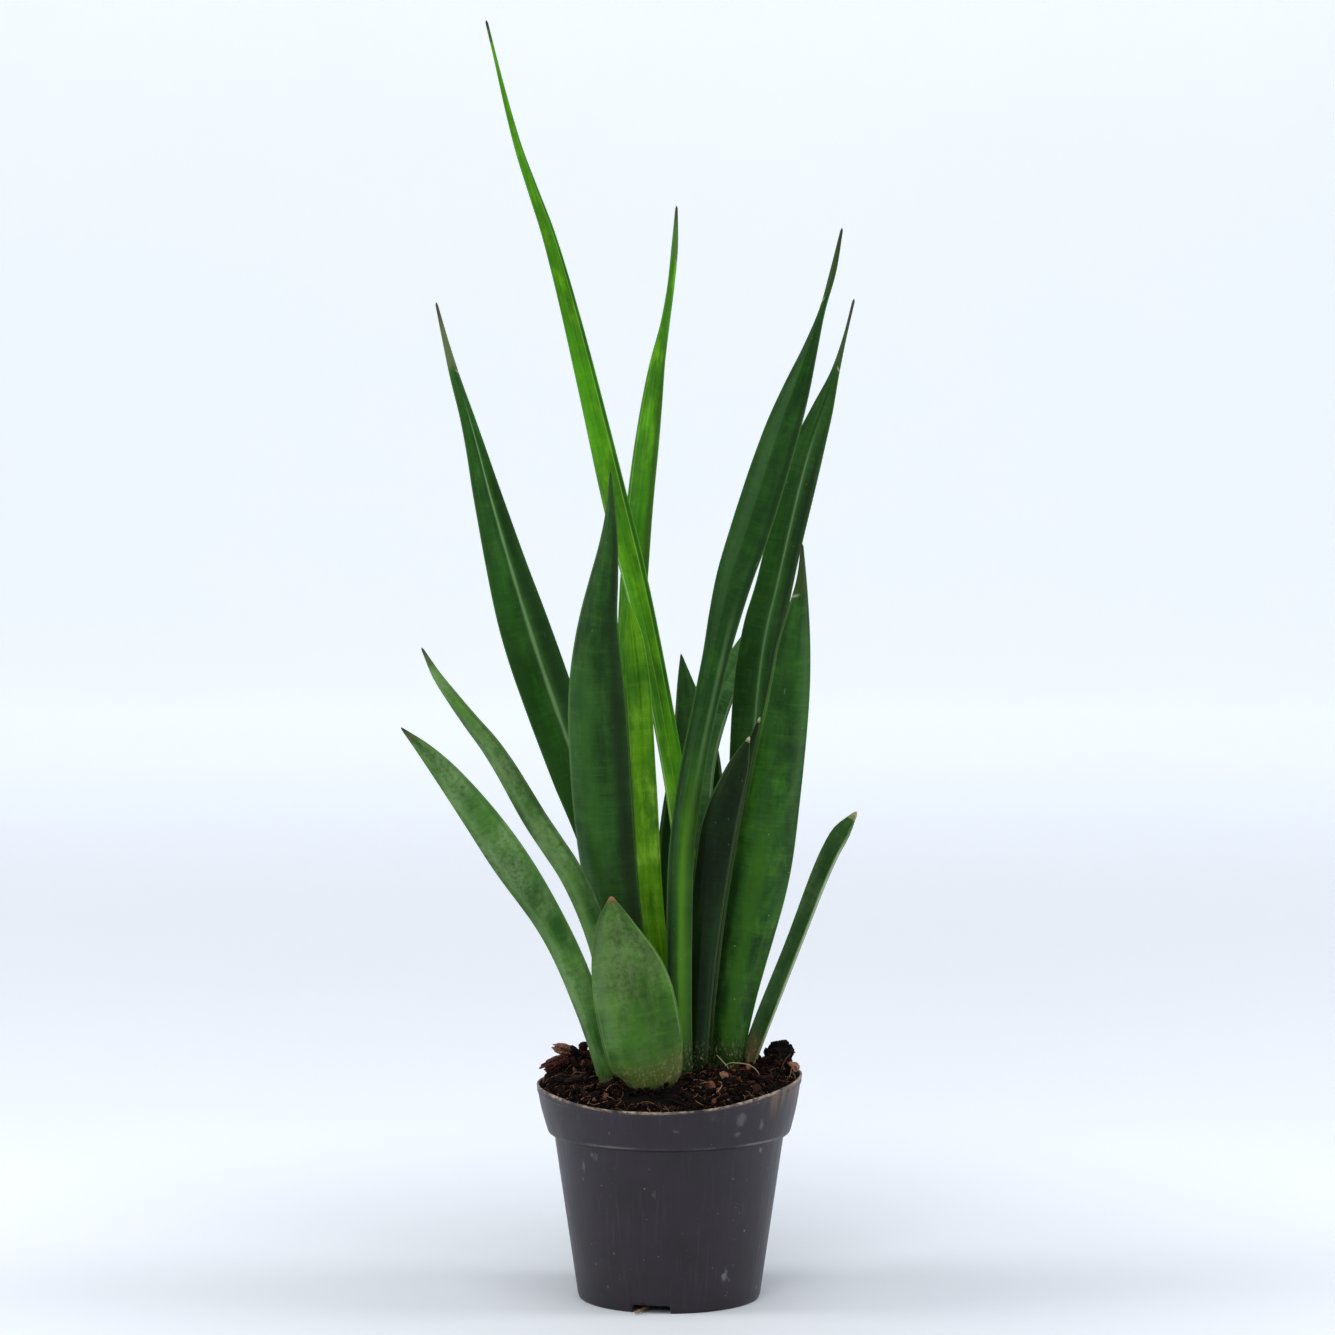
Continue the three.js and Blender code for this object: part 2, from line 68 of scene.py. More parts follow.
class Finish:
    """A material built of nodes. Most methods add one node and give back its output."""

    def __init__(self, name, **shader):
        self.material = bpy.data.materials.new(name)
        self.material.use_nodes = True
        self.tree = self.material.node_tree
        self.tree.nodes.clear()
        self.shader = self.tree.nodes.new("ShaderNodeBsdfPrincipled")
        output = self.tree.nodes.new("ShaderNodeOutputMaterial")
        self.tree.links.new(self.shader.outputs["BSDF"], output.inputs["Surface"])
        for socket, value in shader.items():
            self.put(self.shader.inputs[socket.replace("_", " ")], value)
        self.colour = None

    def put(self, socket, value):
        if isinstance(value, bpy.types.NodeSocket):
            self.tree.links.new(value, socket)
        else:
            socket.default_value = value

    def node(self, kind, inputs, output=0, **settings):
        made = self.tree.nodes.new(kind)
        for key, value in settings.items():
            setattr(made, key, value)
        for key, value in inputs.items():
            self.put(made.inputs[key], value)
        return made.outputs[output]

    def attribute(self, name):
        return self.node("ShaderNodeAttribute", {}, "Vector", attribute_name=name)

    def place(self):
        return self.node("ShaderNodeTexCoord", {}, "Object")

    def split(self, vector):
        parts = self.node("ShaderNodeSeparateXYZ", {0: vector}).node
        return parts.outputs[0], parts.outputs[1], parts.outputs[2]

    def join(self, x, y, z=0.0):
        return self.node("ShaderNodeCombineXYZ", {0: x, 1: y, 2: z})

    def math(self, operation, a, b=0.0):
        return self.node("ShaderNodeMath", {0: a, 1: b}, operation=operation)

    def plus(self, a, b):
        return self.math("ADD", a, b)

    def less(self, a, b):
        return self.math("SUBTRACT", a, b)

    def size(self, a):
        return self.math("ABSOLUTE", a)

    def times(self, first, *factors):
        for factor in factors:
            first = self.math("MULTIPLY", first, factor)
        return first

    def step(self, value, low, high, bottom=0.0, top=1.0):
        """Rises smoothly from bottom to top as value goes from low to high."""
        sockets = {0: value, 1: low, 2: high, 3: bottom, 4: top}
        return self.node("ShaderNodeMapRange", sockets, interpolation_type="SMOOTHSTEP")

    def noise(self, vector, scale=1.0, detail=3.0, roughness=0.55, distortion=0.0):
        sockets = {"Vector": vector, "Scale": scale, "Detail": detail, "Roughness": roughness,
                   "Distortion": distortion}
        return self.node("ShaderNodeTexNoise", sockets)

    def stretch(self, vector, x, y, z):
        return self.node("ShaderNodeVectorMath", {0: vector, 1: (x, y, z)}, operation="MULTIPLY")

    def clouds(self, vector, x, y, z, *detail):
        """Noise with its own scale in each of the three directions."""
        return self.noise(self.stretch(vector, x, y, z), 1.0, *detail)

    def spots(self, vector, scale, channel):
        """How far the nearest of many random points is, and that point's own random number."""
        cells = self.node("ShaderNodeTexVoronoi", {"Vector": vector, "Scale": scale}).node
        return cells.outputs["Distance"], self.split(cells.outputs["Color"])[channel]

    def blend(self, a, b, share):
        """Colour a turned towards b by share."""
        sockets = {0: share, 6: a, 7: b}
        return self.node("ShaderNodeMix", sockets, 2, data_type="RGBA", blend_type="MIX",
                         clamp_factor=True)

    def ground(self, dark, light, share):
        """The first colour, between two tints."""
        self.colour = self.blend(tint(dark), tint(light), share)

    def coat(self, code, *shares):
        """Lays a tint over the colour so far, as strongly as the product of the shares."""
        self.colour = self.blend(self.colour, tint(code), self.times(*shares))

    def use(self, roughness, *relief):
        """Ends the material; each layer of relief is (height, strength, depth in mm)."""
        self.put(self.shader.inputs["Base Color"], self.colour)
        self.put(self.shader.inputs["Roughness"], roughness)
        under = {}
        for height, strength, depth in relief:
            sockets = {"Height": height, "Strength": strength, "Distance": depth * MM, **under}
            under = {"Normal": self.node("ShaderNodeBump", sockets)}
        self.put(self.shader.inputs["Normal"], under["Normal"])
        return self.material


# ---- Meshes -------------------------------------------------------------------------------

def ring_faces(rings, columns):
    """Quads between rings of points that close on themselves, facing out."""
    low = np.arange(rings - 1)[:, None] * columns
    here = np.arange(columns)[None, :]
    following = (here + 1) % columns
    corners = [low + here, low + following, low + columns + following, low + columns + here]
    return np.stack(corners, -1).reshape(-1, 4)


def cap_faces(ring_start, columns, point, at_start):
    """A fan of triangles from a ring of points to one point, facing out."""
    here = ring_start + np.arange(columns)
    following = ring_start + (np.arange(columns) + 1) % columns
    middle = np.full(columns, point)
    order = [middle, following, here] if at_start else [middle, here, following]
    return np.stack(order, -1)


def closed_tube(grid, start, end):
    """Points and faces of rings closed by a point at each end."""
    rings, columns = grid.shape[:2]
    points = np.vstack([grid.reshape(-1, 3), start, end])
    count = rings * columns
    faces = [*ring_faces(rings, columns).tolist(),
             *cap_faces(0, columns, count, True).tolist(),
             *cap_faces(count - columns, columns, count + 1, False).tolist()]
    return points, faces


def mesh_object(name, points, faces, smooth=True):
    mesh = bpy.data.meshes.new(name)
    mesh.from_pydata(points.tolist(), [], faces)
    mesh.polygons.foreach_set("use_smooth", np.full(len(mesh.polygons), smooth))
    made = bpy.data.objects.new(name, mesh)
    bpy.context.scene.collection.objects.link(made)
    return made


def store(mesh, name, values):
    """Keeps three numbers at each point of a mesh, for its finish to read."""
    layer = mesh.attributes.new(name, "FLOAT_VECTOR", "POINT")
    layer.data.foreach_set("vector", np.ascontiguousarray(values, np.float32).ravel())


def piece(name, points, faces, material, slot, replaces=(), smooth=True, **attributes):
    """A mesh with its vector attributes, riding on the plant's one body."""
    made = mesh_object(name, points, faces, smooth)
    for key, values in attributes.items():
        store(made.data, key, values)
    made.data.materials.append(material)
    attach(made, "root")
    if replaces:
        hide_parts(*replaces)
    return made


def unit(vectors):
    return vectors / np.maximum(np.linalg.norm(vectors, axis=-1, keepdims=True), 1e-12)


def along(knots, rows, places):
    """A smooth curve through rows at knots, read at places.

    Cubic pieces; the slope at a knot is the mean of the slopes on both sides, weighted by the
    length of the other side.
    """
    gaps = np.diff(knots)[:, None]
    slopes = np.diff(rows, axis=0) / gaps
    middle = (slopes[:-1] * gaps[1:] + slopes[1:] * gaps[:-1]) / (gaps[1:] + gaps[:-1])
    tangents = np.vstack([slopes[:1], middle, slopes[-1:]])
    i = np.clip(np.searchsorted(knots, places) - 1, 0, len(gaps) - 1)
    gap = gaps[i]
    t = (places - knots[i])[:, None] / gap
    return ((2 * t**3 - 3 * t**2 + 1) * rows[i] + (t**3 - 2 * t**2 + t) * gap * tangents[i]
            + (3 * t**2 - 2 * t**3) * rows[i + 1] + (t**3 - t**2) * gap * tangents[i + 1])


def lengths_along(points):
    """How far each point is along the line through them all."""
    return np.concatenate([[0], np.cumsum(np.linalg.norm(np.diff(points, axis=0), axis=1))])


def cad_rings(node, sides, from_top=False):
    """The rings of a lofted CAD solid in order, and the points that close its start and end.

    On a merged copy, the start is the lowest or highest point where `sides` faces meet, each
    ring is the points that touch the one before, and a point's place in its ring follows from
    the two neighbours that it touches there.
    """
    net = bmesh.new()
    net.from_mesh(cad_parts[node].data)
    bmesh.ops.remove_doubles(net, verts=net.verts, dist=2e-6)
    net.verts.ensure_lookup_table()
    points = np.array([v.co for v in net.verts])
    triangles = np.array([[v.index for v in f.verts] for f in net.faces])
    net.free()
    touch = np.zeros((len(points), len(points)), bool)
    touch[triangles, np.roll(triangles, 1, axis=1)] = True
    touch |= touch.T
    poles = np.flatnonzero(touch.sum(1) == sides)
    start = poles[np.argmax(points[poles, 2]) if from_top else np.argmin(points[poles, 2])]
    following = {}
    for triangle in triangles[(triangles == start).any(1)]:
        at = int(np.flatnonzero(triangle == start)[0])
        following[triangle[(at + 2) % 3]] = triangle[(at + 1) % 3]
    ring = [next(iter(following))]
    while len(ring) < sides:
        ring.append(following[ring[-1]])
    ring = np.array(ring)
    seen = np.zeros(len(points), bool)
    seen[start] = True
    rings = []
    while True:
        rings.append(ring)
        seen[ring] = True
        front = np.flatnonzero(touch[ring].any(0) & ~seen)
        if len(front) != sides:
            break
        meets = touch[front][:, ring]
        ring = front[np.argsort((meets & np.roll(meets, 1, axis=1)).argmax(1))]
    return points[np.array(rings)], points[start], points[front[0]]


# ---- Leaves -------------------------------------------------------------------------------

LEAF_COLUMNS = 41             # across each face of a leaf
LEAF_SPACING = 3.2 * MM       # along it
SOIL_LEVEL = 105 * MM         # where the middle of a leaf leaves the soil
SHORT_AWL = 15                # a longer awl has a pale scale at its base


def leaf_faces(node):
    """A leaf's two faces as A + B u + C u^2 at each CAD ring, u from -1 to 1 across the leaf.

    Gives the distances along the leaf and rows of [inner A, B, C, outer A, B, C].
    """
    rings, foot, tip = cad_rings(node, 10)
    widths = np.linalg.norm(rings - np.roll(rings, -1, axis=1), axis=2).mean(0)
    margin = int(np.argmin(widths[:5] + widths[5:]))
    rings = np.roll(rings, -(margin + 1), axis=1)
    between = rings[:, 2] - rings[:, 7]
    rise = rings[:, [0, 4, 5, 9]].mean(1) - (rings[:, 2] + rings[:, 7]) / 2
    if (between * rise).sum() < 0:
        rings = np.roll(rings, -5, axis=1)
    rows = []
    for face in (rings[:, :5], rings[:, 9:4:-1]):
        rows += [face[:, 2], (face[:, 4] - face[:, 0]) / 2,
                 (face[:, 4] + face[:, 0]) / 2 - face[:, 2]]
    rows = np.concatenate(rows, axis=1)
    return lengths_along((rows[:, :3] + rows[:, 9:12]) / 2), rows, foot, tip


def leaf(name, material, slot, seed, keel=0.0, crease=0.0, wave=1.0):
    """A fine leaf on the CAD one: both faces, rounded margins, and what grows on them.

    Added to each face: a slow wave that grows with u^2 towards the margins, five shallow
    furrows sin(5 pi u), a crease -exp(-(u/0.09)^2) along the inner middle, and a keel
    exp(-(u/0.14)^2) along the outer middle.
    """
    knots, rows, foot, tip = leaf_faces(node=name)
    draw = np.random.default_rng(seed)
    length = knots[-1]
    distance = np.linspace(0, length, int(length / LEAF_SPACING))
    coefficients = along(knots, rows, distance).reshape(-1, 2, 3, 3)
    u = np.linspace(-1, 1, LEAF_COLUMNS)
    powers = np.stack([np.ones_like(u), u, u**2])
    inner, outer = np.einsum("sfkc,ku->fsuc", coefficients, powers)
    inward = unit(coefficients[:, 0, 0] - coefficients[:, 1, 0])[:, None]
    across = unit(coefficients[:, 0, 1])[:, None]
    half = np.linalg.norm(coefficients[:, 0, 1], axis=1)[:, None, None]
    s, v = distance[:, None, None], (distance / length)[:, None, None]
    across_u = u[None, :, None]
    turn = draw.uniform(0, 2 * math.pi, 4)
    slow = (np.sin(s / 0.013 + turn[0] + 1.2 * across_u)
            + 0.6 * np.sin(s / 0.0071 + turn[1] - 2 * across_u))
    drift = 0.018 * wave * half * across_u**2 * slow * inward
    sway = 0.02 * wave * half * np.abs(across_u)**3 * np.sin(s / 0.017 + turn[2]) * across
    furrow = np.minimum(0.05 * MM, 0.01 * half) * np.sin(5 * math.pi * across_u + turn[3])
    fade = np.clip((1 - v) * 12, 0, 1)
    ridge = keel * MM * np.exp(-(across_u / 0.14)**2) * fade * np.clip(half / (4 * MM), 0, 1)
    fold = crease * MM * np.exp(-(across_u / 0.09)**2) * fade * np.clip(half / (4 * MM), 0, 1)
    inner = inner + drift + sway + (furrow - fold) * inward
    outer = outer + drift + sway - (furrow + ridge) * inward
    bend = np.array([0.25, 0.5, 0.75])[None, :, None] * math.pi

    def margin(first, last, outwards):
        middle, reach = (first + last) / 2, (first - last) / 2
        size = np.linalg.norm(reach, axis=2, keepdims=True)
        return middle + np.cos(bend) * reach + np.sin(bend) * size * outwards * across

    right = margin(inner[:, -1:], outer[:, -1:], 0.8)
    left = margin(outer[:, :1], inner[:, :1], -0.8)
    grid = np.concatenate([inner, right, outer[:, ::-1], left], axis=1)
    nearly = grid[-1].mean(0) + 0.55 * (tip - grid[-1].mean(0))
    grid = np.concatenate([grid, (nearly + 0.6 * (grid[-1] - grid[-1].mean(0)))[None]])
    half = np.concatenate([half, half[-1:] * 0.6])
    distance = np.append(distance, length + 1 * MM)
    points, faces = closed_tube(grid, foot, tip)
    one = np.ones(3)
    side = np.concatenate([np.ones_like(u), [0.75, 0.5, 0.25], 0 * u, [0.25, 0.5, 0.75]])
    u_ring = np.concatenate([u, one, u[::-1], -one])
    blade = np.empty((*grid.shape[:2], 3))
    blade[..., 0] = u_ring
    blade[..., 1] = distance[:, None]
    blade[..., 2] = side
    share = np.empty_like(blade)
    share[..., 0] = half.max() * u_ring
    share[..., 1] = np.minimum(distance / length, 1)[:, None]
    share[..., 2] = half[:, :, 0]
    ends = [[0, 0, 0.5], [0, distance[-1], 0.5]]
    share_ends = [[0, 0, half[0, 0, 0]], [0, 1, 0]]
    piece(name.replace("leaf_", "blade_"), points, faces, material, slot, [name],
          blade=np.vstack([blade.reshape(-1, 3), ends]),
          share=np.vstack([share.reshape(-1, 3), share_ends]))
    middle = coefficients[:, :, 0].mean(1)
    at_soil = int(np.argmin(np.abs(middle[:, 2] - SOIL_LEVEL)))
    return [middle[at_soil, 0], middle[at_soil, 1], half[at_soil, 0, 0]]


def leaf_finish(name, seed, dark, main, light, bloom_and_sheen, bands=0.3, patches=0.3, dust_and_sheen=0.2,
                specks=0.3, gloss=0.36, stripes_and_painted_light=(), awl=None, foot="4c5426", foot_top=0.03,
                lights=None, rim=0.18, ribs=0.2):
    """Leaf skin: dark and main green in clouds, lighter patches, cross bands, fine lengthwise
    streaks, grey bloom and dust that also paint a soft sheen, pale specks, stripes along the
    leaf, its foot and its awl. On some leaves the foot is painted shade next to the soil.

    A stripe is (u, half width in u, from, to, colour, strength, side), with from and to as
    shares of the length, and side 1 for the inner face, 0 for the outer one, None for both.
    Many stripes are painted light: dark stripes down a wing are painted shade, and pale ones
    along the middle are a painted sheen. The rest are the leaf's own markings.
    """
    f = Finish(name, Specular_IOR_Level=0.1)
    u, s, side = f.split(f.attribute("blade"))
    wide, v, _ = f.split(f.attribute("share"))
    place = f.place()
    metric = f.join(f.plus(wide, 0.1 * seed), f.plus(s, 0.37 * seed), f.times(side, 0.02))
    f.ground(dark, main, f.step(f.clouds(metric, 60, 22, 60, 4, 0.6), 0.34, 0.66))
    patch = f.times(f.step(f.clouds(metric, 130, 60, 90, 4, 0.6), 0.42, 0.78), patches)
    if lights is not None:
        low, high = lights
        patch = f.times(patch, f.step(v, low, low + 0.12), f.step(v, high, high - 0.12))
    f.coat(light, patch)
    band = f.clouds(metric, 34, 210, 40, 2, 0.5, 0.6)
    f.coat(dark, f.step(band, 0.52, 0.68), bands)
    f.coat(light, f.step(band, 0.44, 0.3), bands * 0.5)
    lines = f.noise(f.join(f.times(u, 11), f.times(s, 9), seed), 1.0, 4, 0.7)
    f.coat(light, f.step(lines, 0.54, 0.76), 0.6 * ribs)
    f.coat(dark, f.step(lines, 0.46, 0.28), ribs)
    cross = f.clouds(metric, 110, 900, 90, 3, 0.65, 0.3)
    f.coat(dark, f.step(cross, 0.5, 0.3), 2 * ribs)
    f.coat(light, f.step(cross, 0.54, 0.74), ribs)
    # Grey bloom and dust, which also paint a soft sheen: cloudy patches turned towards the bloom
    # colour and made rougher.
    bloom_and_sheen_mask = f.clouds(place, 55, 55, 26, 5, 0.65)
    fine_breakup = f.noise(place, 420, 4, 0.7)
    bloom_and_sheen_mask = f.times(f.step(bloom_and_sheen_mask, 0.36, 0.7), f.step(fine_breakup, 0.25, 0.62), dust_and_sheen)
    f.coat(bloom_and_sheen, bloom_and_sheen_mask)
    # Stripes: the leaf's own markings, with painted shade down some wings and painted sheen along
    # some middles.
    for centre, width, start, end, code, strength, face in stripes_and_painted_light:
        edge = f.noise(f.join(seed, f.times(s, 60), centre), 1.0, 3)
        away = f.plus(f.size(f.less(u, centre)), f.times(edge, width))
        shares = [f.step(away, 2.1 * width, 0.5 * width), strength,
                  f.step(v, start, start + 0.1), f.step(v, end, end - 0.1)]
        if face is not None:
            shares.append(f.step(side, 0.4, 0.6) if face else f.step(side, 0.6, 0.4))
        f.coat(code, *shares)
    dots, picked = f.spots(place, 330, 0)
    f.coat("9db27c", f.step(dots, 0.15, 0.06), f.step(picked, 0.88, 0.92), 0.6 * specks)
    scars, scarred = f.spots(f.stretch(metric, 1, 0.28, 1), 210, 1)
    f.coat("87946a", f.step(scars, 0.12, 0.05), f.step(scarred, 0.95, 0.97), 0.35 * specks)
    f.coat("6f8a45", f.step(f.size(u), 0.985, 0.999), rim)
    scurf = f.clouds(place, 900, 900, 500, 4, 0.7)
    # The foot band is the base's own stain. On the DEEP leaves it is a near-black green, painted
    # shade next to the soil.
    low = f.step(s, foot_top, foot_top - 0.014)
    f.coat(foot, low, 0.6)
    f.coat("a89a72", low, f.step(scurf, 0.52, 0.68), 0.55)
    if awl is not None:
        reach, stem, end = awl
        left = f.times(f.less(f.math("DIVIDE", s, v), s), 1 / MM)   # to the tip, in mm
        f.coat(stem, f.step(left, 1.06 * reach, 0.88 * reach), 0.75)
        if reach > SHORT_AWL:
            base = f.less(left, f.times(u, 1.6))
            f.coat("a9a288", f.step(f.size(f.less(base, reach)), 1.0, 0.3),
                   f.step(u, 0.0, 0.7), f.step(lines, 0.3, 0.55), 0.7)
        f.coat(end, f.step(left, 0.45 * reach, 0.05 * reach), 0.85)
    rough = f.step(lines, 0.3, 0.7, gloss - 0.05, gloss + 0.1)
    grain = f.noise(f.join(f.times(u, 34), f.times(s, 40), seed), 1.0, 3, 0.6)
    pores = f.noise(place, 2600, 2, 0.5)
    return f.use(f.plus(rough, f.times(bloom_and_sheen_mask, 0.4)),
                 (lines, 0.35, 0.25), (grain, 0.3, 0.12), (pores, 0.12, 0.05))


YOUNG = {"slot": "leaf_young", "dark": "326a0a", "main": "438a0c", "light": "6cac16",
         "bloom_and_sheen": "5f8c30", "dust_and_sheen": 0.1, "bands": 0.22, "patches": 0.7, "gloss": 0.36,
         "ribs": 0.05}
# DEEP's foot colour and its taller foot band are painted shade on the leaf bases next to the soil.
DEEP = {"slot": "leaf_deep", "dark": "10330a", "main": "1c4d12", "light": "336c1c",
        "bloom_and_sheen": "3c5a30", "dust_and_sheen": 0.2, "bands": 0.28, "patches": 0.25, "gloss": 0.38,
        "foot": "16220c", "foot_top": 0.042}
DUSTY = {"slot": "leaf_dusty", "dark": "234a18", "main": "416e2a", "light": "60903a",
         "bloom_and_sheen": "7f9a68", "dust_and_sheen": 0.6, "bands": 0.35, "patches": 0.4, "gloss": 0.5,
         "ribs": 0.12}

